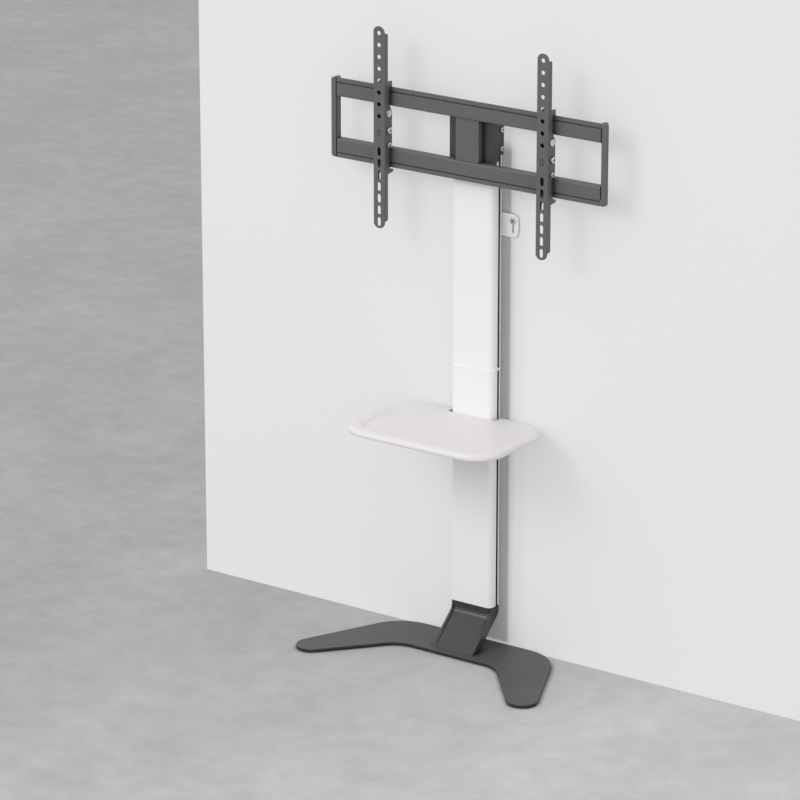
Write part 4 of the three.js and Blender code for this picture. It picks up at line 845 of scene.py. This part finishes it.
def column_section(low, high, heights, places=()):
    """One length of the drawn profile: a T-groove in each side and a hollow core."""
    wall = [(COLUMN_HALF, GROOVE_MOUTH, 0.5), (GROOVE_LIP, GROOVE_MOUTH, 0.3),
            (GROOVE_LIP, GROOVE_INNER, 0.3), (GROOVE_FLOOR, GROOVE_INNER, 0.6)]
    half = [(COLUMN_HALF, COLUMN_FRONT, COLUMN_NOSE),
            *((x, GROOVE_Y - reach, radius) for x, reach, radius in wall),
            *((x, GROOVE_Y + reach, radius) for x, reach, radius in reversed(wall)),
            (COLUMN_HALF, COLUMN_REAR, COLUMN_HEEL)]
    bar = prism(paired(half), "z", low, high, 0.25)
    holes = rear_bores(heights) + [rear_bore(x, ANCHOR_Z) for x in places]
    return cut(bar, prism(column_cavity(), "z", low - 1, high + 1), *holes)


def wall_anchor():
    """A thin plate with a pad against the column and a slot for the wall screw."""
    low, high = ANCHOR_Z - ANCHOR_HALF, ANCHOR_Z + ANCHOR_HALF
    def outline(right, radius):
        return rounded([(ANCHOR_LEFT, low, ANCHOR_CORNER), (right, low, radius),
                        (right, high, radius), (ANCHOR_LEFT, high, ANCHOR_CORNER)])
    plate = prism(outline(ANCHOR_RIGHT, ANCHOR_END), "y", ANCHOR_FRONT, ANCHOR_REAR, 0.7)
    pad = prism(outline(ANCHOR_PAD_RIGHT, ANCHOR_CORNER), "y", COLUMN_REAR,
                ANCHOR_FRONT + 1.5, 0.2)
    slot = opening(rectangle(KEYHOLE_X - KEYHOLE_HALF, KEYHOLE_X + KEYHOLE_HALF, KEYHOLE_LOW,
                             WALL_SCREW_Z + KEYHOLE_HALF, KEYHOLE_HALF),
                   "y", ANCHOR_FRONT, ANCHOR_REAR, 0.4)
    seat = ANCHOR_SEAT - BOLT_GAP
    holes = [tool for x in ANCHOR_SCREWS for tool in (
        rod("y", x, ANCHOR_Z, WIDE_BORE, COLUMN_REAR - 1, ANCHOR_REAR + 1),
        rod("y", x, ANCHOR_Z, REAR_HEAD_RADIUS + BOLT_GAP, seat, ANCHOR_REAR + 1))]
    return cut(joined(plate, pad), slot, *holes)


def add_column():
    piece("column_profile_lower", column_section(NECK_TOP, RING_LOW, SPIGOT_SCREWS + JOINT_SCREWS),
          "stand", "column_white", "column_lower")
    piece("column_profile_upper",
          column_section(RING_HIGH, COLUMN_TOP, JOINT_SCREWS, ANCHOR_SCREWS), "stand",
          "column_white", "column_upper")
    ring = cut(prism(column_outline(RING_PROUD), "z", RING_LOW, RING_HIGH, 0.6),
               prism(column_cavity(), "z", RING_LOW - 1, RING_HIGH + 1))
    piece("joint_trim_ring", ring, "stand", "white_plastic", "joint_ring")
    half = GROOVE_FLOOR - 1.9
    front, rear = COLUMN_FRONT + COLUMN_WALL + BOLT_GAP, COLUMN_REAR - COLUMN_WALL - BOLT_GAP
    low, hollow = COLUMN_TOP - PLUG_DEPTH, PLUG_WALL - half
    plug = cut(prism(rectangle(-half, half, front, rear, 1), "z", low, COLUMN_TOP + 2, 0.4),
               prism(rectangle(hollow, -hollow, front + PLUG_WALL, rear - PLUG_WALL, 1), "z",
                     low - 2, COLUMN_TOP))
    lid = prism(column_outline(), "z", COLUMN_TOP, COLUMN_TOP + CAP_HEIGHT, 1.3)
    piece("column_lid", joined(lid, plug), "stand", "white_plastic", "column_cap")
    piece("wall_anchor_plate", wall_anchor(), "stand", "anchor_white", "wall_anchor")


# ---------------- shelf
def tray_rim(y):
    """How far the rim stands above the floor, from none at the rear to full in front."""
    share = min(1.0, max(0.0, (TRAY_FLUSH - y) / (TRAY_FLUSH - TRAY_RAISED)))
    return TRAY_RISE * eased(share)


def tray_ring(reach, z, raised):
    """One level of the board's outline; raised is its share of the rim's rise."""
    half = TRAY_HALF - reach
    front, rear = (radius - reach for radius in TRAY_CORNERS)
    side = [(half, TRAY_FRONT + reach, front), *((half, y) for y in TRAY_SIDE_STEPS),
            (half, TRAY_REAR - reach, rear)]
    return [(*point, z + raised * tray_rim(point.y)) for point in paired(side)]


def tray_bores(low, high):
    return [rod("z", x, y, SLIM_BORE, low, high) for x, y in TRAY_SCREWS]


def tray_board():
    """A board with a soft edge, flush at the rear, its rim rising towards the front."""
    edge = [(1 - up, 1 - across) for across, up in quarter(EDGE_STEPS)]
    rings = [tray_ring(TRAY_LOWER_ROUND * inward, TRAY_LOW + TRAY_LOWER_ROUND * rise, 0)
             for inward, rise in edge]
    rings += [tray_ring(TRAY_UPPER_REACH * inward, TRAY_TOP - TRAY_UPPER_HEIGHT * rise,
                        1 - 0.7 * rise)
              for inward, rise in reversed(edge)]
    width = TRAY_FLOOR_REACH - TRAY_CREST
    rings += [tray_ring(TRAY_CREST + width * share, TRAY_TOP, 1 - eased(share))
              for share in (step / SLOPE_STEPS for step in range(SLOPE_STEPS + 1))]
    notch = rectangle(-NOTCH_HALF, NOTCH_HALF, CLAMP_BACK, TRAY_REAR + 30, NOTCH_RADIUS)
    return cut(loft(rings), prism(notch, "z", TRAY_LOW - 5, TRAY_TOP + 10),
               *tray_bores(TRAY_LOW - 2, TRAY_LOW + TRAY_SCREW_DEPTH))


def folded_clamp(low, high, profile):
    """Sheet folded round the front of the column, trimmed to a side profile."""
    half = [(CLAMP_OUTER, CLAMP_FRONT, CLAMP_BEND), (CLAMP_OUTER, CLAMP_TAIL),
            (CLAMP_INNER, CLAMP_TAIL), (CLAMP_INNER, CLAMP_BACK, CLAMP_INNER_BEND)]
    return common(prism(paired(half), "z", low, high),
                  prism(rounded(profile), "x", -CLAMP_OUTER - 1, CLAMP_OUTER + 1))


def flange_bores(heights):
    return [opening(circle(GROOVE_Y, z, SLIM_BORE), "x", low, low + SHEET, 0.3)
            for z in heights for low in (CLAMP_INNER, -CLAMP_OUTER)]


def shelf_cantilever():
    """Clamp, top plate and two ribs that carry the tray."""
    low, high, half_sheet = BRACKET_TOP - BRACKET_DROP, BRACKET_TOP, SHEET / 2
    tip, root, back = CLAMP_FRONT - BRACKET_REACH, CLAMP_BACK - half_sheet, CLAMP_BACK + 31
    clamp = folded_clamp(low, high, [
        (CLAMP_FRONT - 1, low, 2), (CLAMP_BACK + 3, low, 2), (CLAMP_BACK + 5, low + 6, 2),
        (back, low + 6, 5), (back, high, 5), (CLAMP_FRONT - 1, high)])
    top = prism(rounded([(-BRACKET_HALF, tip, 9), (BRACKET_HALF, tip, 9),
                         (BRACKET_HALF, CLAMP_BACK, 2), (-BRACKET_HALF, CLAMP_BACK, 2)]),
                "z", high - SHEET, high, 0.4)
    rib = rounded([(root, low, 1), (root, high - half_sheet), (tip + 0.5, high - half_sheet),
                   (tip + 0.5, high - BRACKET_TIP_DROP, 4)])
    ribs = [prism(rib, "x", middle - half_sheet, middle + half_sheet, 0.4)
            for middle in (-BRACKET_RIB_X, BRACKET_RIB_X)]
    return cut(joined(clamp, top, *ribs), *tray_bores(high - 5, high + 2),
               *flange_bores([SHELF_SCREW_Z]))


def add_shelf():
    piece("tray_board", tray_board(), "shelf", "tray_white", "shelf_tray")
    piece("shelf_cantilever", shelf_cantilever(), "shelf", "dark_steel", "shelf_bracket")


# ---------------- head
def head_clamp():
    foot, step = HEAD_Z - 32, HEAD_Z - 44
    tail, ledge, back = CLAMP_FRONT + 10, CLAMP_FRONT + 20, CLAMP_FRONT + 36
    clamp = folded_clamp(CLAMP_LOW, CLAMP_HIGH, [
        (CLAMP_FRONT - 1, CLAMP_LOW), (tail, CLAMP_LOW, 1.5), (tail, step, 3), (ledge, step, 1.5),
        (ledge, foot, 1.5), (back, foot, 5), (back, CLAMP_HIGH, 5), (CLAMP_FRONT - 1, CLAMP_HIGH)])
    return cut(clamp, *flange_bores(HEAD_SCREWS_Z))


def hub_channel():
    inner = HUB_HALF - HUB_SHEET
    half = [(HUB_HALF, HUB_FRONT, 3), (HUB_HALF, CLAMP_FRONT, 2), (HUB_LIP, CLAMP_FRONT),
            (HUB_LIP, CLAMP_FRONT - HUB_SHEET), (inner, CLAMP_FRONT - HUB_SHEET, 0.5),
            (inner, HUB_FRONT + HUB_SHEET, 0.6)]
    return prism(paired(half), "z", HEAD_Z - HUB_HALF_HEIGHT,
                 HEAD_Z + HUB_HALF_HEIGHT, 0.4)


def rail_bar(outer, inward):
    """Formed sheet with a free lip, a sunk line beside it and a flange on the inner side."""
    back, floor = RAIL_FRONT + RAIL_WALL, RAIL_FRONT + RAIL_LINE_DEPTH
    line = RAIL_LIP + RAIL_LINE
    section = [(back, 0, 0.6), (RAIL_FRONT, 0, 0.9), (RAIL_FRONT, RAIL_LIP, 0.35),
               (floor, RAIL_LIP + 0.1), (floor, line - 0.1), (RAIL_FRONT, line, 0.35),
               (RAIL_FRONT, RAIL_HEIGHT, RAIL_BEND), (RAIL_FRONT + RAIL_FLANGE, RAIL_HEIGHT, 0.5),
               (RAIL_FRONT + RAIL_FLANGE, RAIL_HEIGHT - RAIL_WALL, 0.5),
               (back, RAIL_HEIGHT - RAIL_WALL, RAIL_BEND - RAIL_WALL)]
    outline = rounded([(y, outer + inward * z, *radius) for y, z, *radius in section])
    bar = prism(outline, "x", -RAIL_HALF, RAIL_HALF, 0.3)
    inner = outer + inward * RAIL_HEIGHT
    notch = rectangle(-HUB_HALF - 0.6, HUB_HALF + 0.6, back, RAIL_FRONT + RAIL_FLANGE + 5)
    return cut(bar, prism(notch, "z", inner - 2 * RAIL_WALL, inner + 2 * RAIL_WALL))


def end_upright(sign):
    """A moulded upright: shadow line in front, slanted back, a plug for each rail."""
    inner, outer = sign * END_INNER, sign * END_OUTER
    low, high, rear = RAIL_LOW, RAIL_HIGH, RAIL_FRONT + END_DEPTH
    beyond = inner - sign * 8
    front_view = prism(rounded([(beyond, low), (outer, low, END_CORNER), (outer, high, END_CORNER),
                                (beyond, high)]), "y", RAIL_FRONT, rear, 1.3)
    line = inner + sign * END_LINE
    plan = rounded([(inner, RAIL_FRONT + END_LINE_DEPTH, 0.3), (line, RAIL_FRONT + END_LINE_DEPTH),
                    (line, RAIL_FRONT, 0.5), (outer, RAIL_FRONT, END_EDGE),
                    (outer, RAIL_FRONT + END_OUTER_DEPTH, 1.2),
                    (inner + sign * END_BACK_WIDTH, rear, 1.5), (inner, rear, 0.4)])
    upright = common(prism(plan, "z", low - 2, high + 2), front_view)
    depth = RAIL_FRONT + RAIL_WALL + BOLT_GAP
    tip, root = sorted((inner - sign * 20, inner + sign * 3))
    near, far = RAIL_LIP + RAIL_LINE, RAIL_HEIGHT - RAIL_WALL - BOLT_GAP
    plugs = [prism(rectangle(tip, root, *ends, 1), "y", depth, depth + 9, 0.8)
             for ends in ((high - far, high - near), (low + near, low + far))]
    return joined(upright, *plugs)


def add_head():
    # The clamp sheet takes the darker coat that paints the hub's shadow on it
    piece("head_clamp_sheet", head_clamp(), "head", "dark_steel", "column_clamp",
          finish="clamp_steel_painted_shade")
    piece("hub_hat", hub_channel(), "head", "dark_steel", "hub_channel")
    piece("rail_bar_upper", rail_bar(RAIL_HIGH, -1), "head", "dark_steel", "rail_upper")
    piece("rail_bar_lower", rail_bar(RAIL_LOW, 1), "head", "dark_steel", "rail_lower")
    for side, sign in SIDES:
        piece(f"end_upright_{side}", end_upright(sign), "head", "dark_plastic", f"end_cap_{side}")


# ---------------- arms and their brackets
def arrow_outline(reach):
    high, half, stem = ARROW_LOW + ARROW_HEIGHT, ARROW_HALF, ARROW_STEM
    shoulder = high - ARROW_HEAD
    slope = ARROW_HEAD / half
    long = math.hypot(1, slope)
    barb = half - reach * (1 + long) / slope
    side = [(barb, shoulder + reach), (stem - reach, shoulder + reach),
            (stem - reach, ARROW_LOW + reach)]
    return rounded([(0, high - reach * long), *side, *mirrored(side)])


def tilt_slot(drop, radius):
    """A slot bent round the pivot, for a bolt hanging below it."""
    start, end = -math.pi / 2 - TILT_DOWN, -math.pi / 2 + TILT_UP
    half = radius + BOLT_GAP
    near, far = arc(BOLT_Y, PIVOT_Z, drop, start, end, 1)
    outline = (arc(BOLT_Y, PIVOT_Z, drop + half, start, end, 8)
               + arc(*far, half, end, end + math.pi, 14)[1:-1]
               + arc(BOLT_Y, PIVOT_Z, drop - half, end, start, 8)
               + arc(*near, half, start + math.pi, start + 2 * math.pi, 14)[1:-1])
    return prism(outline, "x", -2 * ARM_HALF, 2 * ARM_HALF)


def arm_channel():
    """A folded channel with holes, slots, a pressed arrow and an ear on each flank."""
    high, low = ARM_TOP_HOLE, ARM_LOW_HOLE
    face = rectangle(-ARM_HALF, ARM_HALF, low - ARM_HALF, high + ARM_HALF, ARM_HALF)
    plate = prism(face, "y", ARM_FRONT, ARM_FRONT + ARM_SHEET, 0.45)
    back, ear = ARM_FRONT + ARM_FLANGE, ARM_FRONT + ARM_EAR
    top, bottom = PIVOT_Z + 9, PIVOT_Z - 71
    side = rounded([(ARM_FRONT + 1, low + 1), (back, low + 1, 5), (back, bottom - 6, 4),
                    (ear, bottom, 5), (ear, top, 5), (back, top + 6, 4), (back, high - 1, 5),
                    (ARM_FRONT + 1, high - 1)])
    inner = ARM_HALF - ARM_SHEET
    flanges = [prism(side, "x", *ends, 0.4) for ends in ((-ARM_HALF, -inner), (inner, ARM_HALF))]
    bounds = rounded([(-ARM_HALF, ARM_FRONT, ARM_BEND), (ARM_HALF, ARM_FRONT, ARM_BEND),
                      (ARM_HALF, ARM_FRONT + 60), (-ARM_HALF, ARM_FRONT + 60)])
    channel = common(joined(plate, *flanges), prism(bounds, "z", low - 30, high + 30))
    sheet = (ARM_FRONT, ARM_FRONT + ARM_SHEET)
    tools = [opening(circle(0, high - HOLE_PITCH * row, ARM_HOLE), "y", *sheet, 0.35)
             for row in range(ARM_HOLES)]
    half = ARM_SLOT_LENGTH / 2
    tools += [opening(rectangle(-ARM_SLOT, ARM_SLOT, z - half, z + half, ARM_SLOT), "y", *sheet,
                      0.35) for z in (low + HOLE_PITCH * row for row in range(ARM_SLOTS))]
    bottom_of_line = ARM_FRONT + ARROW_DEPTH
    arrow = cut(prism(arrow_outline(0), "y", ARM_FRONT - 2, bottom_of_line),
                prism(arrow_outline(ARROW_LINE), "y", ARM_FRONT - 3, bottom_of_line + 1))
    pivot = rod("x", BOLT_Y, PIVOT_Z, WIDE_BORE, -2 * ARM_HALF, 2 * ARM_HALF)
    return cut(channel, *tools, arrow, pivot, tilt_slot(PIVOT_Z - LOCK_Z, 3),
               tilt_slot(PIVOT_Z - STAY_Z, 2.5))


def hook_outline():
    """Side of a bracket: hook over the upper rail's lip, claw under the lower rail."""
    front, tail = HOOK_FRONT, ARM_FRONT + 13
    rest, slot = RAIL_FRONT - BOLT_GAP, RAIL_FRONT + RAIL_WALL + BOLT_GAP
    finger, top = slot + 4.8, RAIL_HIGH + 11.5
    bulge, bulge_top = rest + 7.3, RAIL_HIGH - RAIL_HEIGHT - 0.8
    bulge_low, claw = RAIL_LOW + RAIL_HEIGHT + 0.8, RAIL_LOW - 1.3
    claw_tip = claw - 6.7 + 1.5
    return rounded([
        (front, HOOK_HIGH, 1), (tail, top - 5, 2), (tail + 5, top, 2), (finger - 2.5, top, 1),
        (finger, top - 2.5, 1), (finger, RAIL_HIGH - 6.5, 1), (slot, RAIL_HIGH - 6.5, 0.6),
        (slot, RAIL_HIGH + BOLT_GAP), (rest, RAIL_HIGH + BOLT_GAP), (rest, bulge_top, 1),
        (bulge, bulge_top - 12, 3), (bulge, bulge_low + 6, 3), (rest, bulge_low, 1),
        (rest, claw, 0.8), (rest + 3, claw - 3, 0.8),
        (rest + 11.8, claw_tip, 1), (rest + 11.8, claw_tip - 5.5, 1),
        (tail + 2.5, RAIL_LOW - 14.2, 2), (tail + 2.5, RAIL_LOW - 28.5, 0.8),
        (tail, RAIL_LOW - 28.5, 0.8), (tail, HEAD_Z - 50, 3), (front, HOOK_LOW, 3)])


def hook_sheet():
    """Two cheeks joined by a web, with a nut welded inside the right one."""
    inner, outline = HOOK_HALF - HOOK_SHEET, hook_outline()
    weld = inner + 1.2        # web and nut reach this far into the cheeks
    cheeks = [prism(outline, "x", *ends, 0.35)
              for ends in ((-HOOK_HALF, -inner), (inner, HOOK_HALF))]
    web = prism(rectangle(-weld, weld, HOOK_FRONT, HOOK_FRONT + HOOK_SHEET), "z", HOOK_LOW,
                HOOK_HIGH, 0.3)
    nut = prism(circle(BOLT_Y, STAY_Z, 5.1, 6), "x", inner - WELD_NUT, weld, 0.5)
    bores = [rod("x", BOLT_Y, z, WIDE_BORE, -20, 20) for z in (PIVOT_Z, LOCK_Z)]
    return cut(joined(*cheeks, web, nut), *bores, rod("x", BOLT_Y, STAY_Z, SLIM_BORE, 0, 20))


def add_arms():
    arm, hook = arm_channel(), hook_sheet()
    for side, sign in SIDES:
        there = Matrix.Translation((sign * ARM_X, 0, 0))
        piece(f"screen_arm_channel_{side}", moved(arm, there), f"screen_arm_{side}", "dark_steel",
              f"arm_{side}")
        piece(f"hook_sheet_{side}", moved(hook, there), f"hook_{side}", "dark_steel",
              f"hook_bracket_{side}")


add_foot()
add_column()
add_shelf()
add_head()
add_arms()
add_screws()
add_tilt_bolts()


# ---------------- stage and light
WALL_Y, WALL_LEFT, WALL_HIGH, FLOOR_REACH = 0.1265, -0.7285, 8, 60     # metres, from here on
# Painted shade on the wall beside nearby parts, and the heights between which it and the column's
# painted shadow are laid
WALL_GAP_SHADE = (ALL_GAP_SHADE, 0.006, 0.25, 0.8, 0.15)
WALL_GAP_LOW, WALL_GAP_HIGH = (0.004, 0.012), (1.11, 1.08)
WALL_EVEN, WALL_GLOW = 0.5, 0.96
# Painted shade on the floor: beside the parts in front of the wall, and darker away to the left
FLOOR_GAP_SHADE = (ALL_GAP_SHADE, 0.01, 0.3, 0.9, 0.2)
FLOOR_GAP_ENDS = (0.117, 0.11)
FLOOR_LIT_FROM, FLOOR_LIT = (-1.0, 0.5), (0.68, 1.06)
# The column's shadow, painted on the wall as a darker strip along x
STRIP_ENDS = (-0.06, 0.125)
STRIP_SHADE = ((0.0, 1.0), (0.06, 0.4), (0.689, 0.46), (0.719, 0.8), (0.784, 0.93), (0.978, 1.0))
KEY_PLACE, KEY_TARGET, KEY_SIZE, KEY_WATTS = (-2.0, -4.6, 3.9), (0.1, 0, 0.7), (2.4, 2.0), 85
ROOM_LIGHT = 1.08


def stage_sheet(name, corners, material):
    mesh = bpy.data.meshes.new(name)
    mesh.from_pydata(corners, [], [(0, 1, 2, 3)])
    mesh.materials.append(material)
    sheet = placed(name, mesh)


def along(tree, axis, ends, results=(0.0, 1.0)):
    """A value that runs from one level to another between two places along an axis."""
    parts = add(tree, "ShaderNodeSeparateXYZ", {0: here(tree)})
    return ranged(tree, parts.outputs[axis], ends, results)


def floor_finish():
    """Trowelled concrete, clouded, with painted shade: darker away to the left and next to the
    parts that stand on it.
    """
    material, tree = new_finish("pale_concrete")
    tone = toned(tree, linear("b9b9b9"), 3.0, 0.42)
    fine = toned(tree, tone["Color"], 16.0, 0.34)["Color"]
    beside = mixed(tree, along(tree, "Y", FLOOR_GAP_ENDS), fine,
                   shaded_in_gaps(tree, fine, FLOOR_GAP_SHADE))
    show(tree, skin(tree, {
        "Base Color": scaled(tree, beside, along(tree, "X", FLOOR_LIT_FROM, FLOOR_LIT)),
        "Specular IOR Level": 0.12,
        "Roughness": ranged(tree, tone["Patch"], CLOUD_ENDS, (0.6, 0.8)),
        "Normal": bumped(tree, use(tree, GRAIN, {"Grains per metre": 160.0})["Height"], 0.0002)}))
    return material


def wall_finish():
    """Plain off-white wall with the column's narrow shadow and the shade beside nearby parts
    painted on; from behind it is clear.
    """
    material, tree = new_finish("pale_wall")
    tone = toned(tree, linear("e8e8e7"), 1.2, 0.02)
    strip = add(tree, "ShaderNodeValToRGB", {0: along(tree, "X", STRIP_ENDS)})
    for place, level in STRIP_SHADE:
        strip.color_ramp.elements.new(place).color = (level, level, level, 1)
    strip.color_ramp.elements.remove(strip.color_ramp.elements[0])
    beside = mixed(tree, 1.0, tone["Color"], strip.outputs[0], "MULTIPLY")
    band = maths(tree, "MULTIPLY", *(along(tree, "Z", ends)
                                     for ends in (WALL_GAP_LOW, WALL_GAP_HIGH)))
    paint = mixed(tree, band, tone["Color"], shaded_in_gaps(tree, beside, WALL_GAP_SHADE))
    coat = skin(tree, {"Base Color": paint, "Specular IOR Level": 0.1,
                       "Roughness": ranged(tree, tone["Patch"], CLOUD_ENDS, (0.8, 0.9))})
    glow = add(tree, "ShaderNodeEmission", {"Color": paint, "Strength": WALL_GLOW}).outputs[0]
    even = add(tree, "ShaderNodeMixShader", {0: WALL_EVEN, 1: coat, 2: glow}).outputs[0]
    behind = add(tree, "ShaderNodeNewGeometry").outputs["Backfacing"]
    clear = add(tree, "ShaderNodeBsdfTransparent").outputs[0]
    show(tree, add(tree, "ShaderNodeMixShader", {0: behind, 1: even, 2: clear}).outputs[0])
    return material


def set_stage():
    far = FLOOR_REACH
    stage_sheet("floor", [(-far, -far, 0), (far, -far, 0), (far, far, 0), (-far, far, 0)],
                floor_finish())
    stage_sheet("wall", [(WALL_LEFT, WALL_Y, 0), (far, WALL_Y, 0), (far, WALL_Y, WALL_HIGH),
                         (WALL_LEFT, WALL_Y, WALL_HIGH)], wall_finish())


def set_light():
    light = bpy.data.lights.new("soft_key", "AREA")
    light.shape, light.energy = "RECTANGLE", KEY_WATTS
    light.size, light.size_y = KEY_SIZE
    lamp = placed("soft_key", light)
    lamp.location = KEY_PLACE
    look = Vector(KEY_TARGET) - Vector(KEY_PLACE)
    lamp.rotation_euler = look.to_track_quat("-Z", "Y").to_euler()
    world = bpy.data.worlds.new("studio_room")
    world.use_nodes = True
    ground = world.node_tree.nodes["Background"]
    ground.inputs["Color"].default_value = (1, 1, 1, 1)
    ground.inputs["Strength"].default_value = ROOM_LIGHT
    scene.world = world
    scene.view_settings.view_transform = "Standard"


set_stage()
set_light()
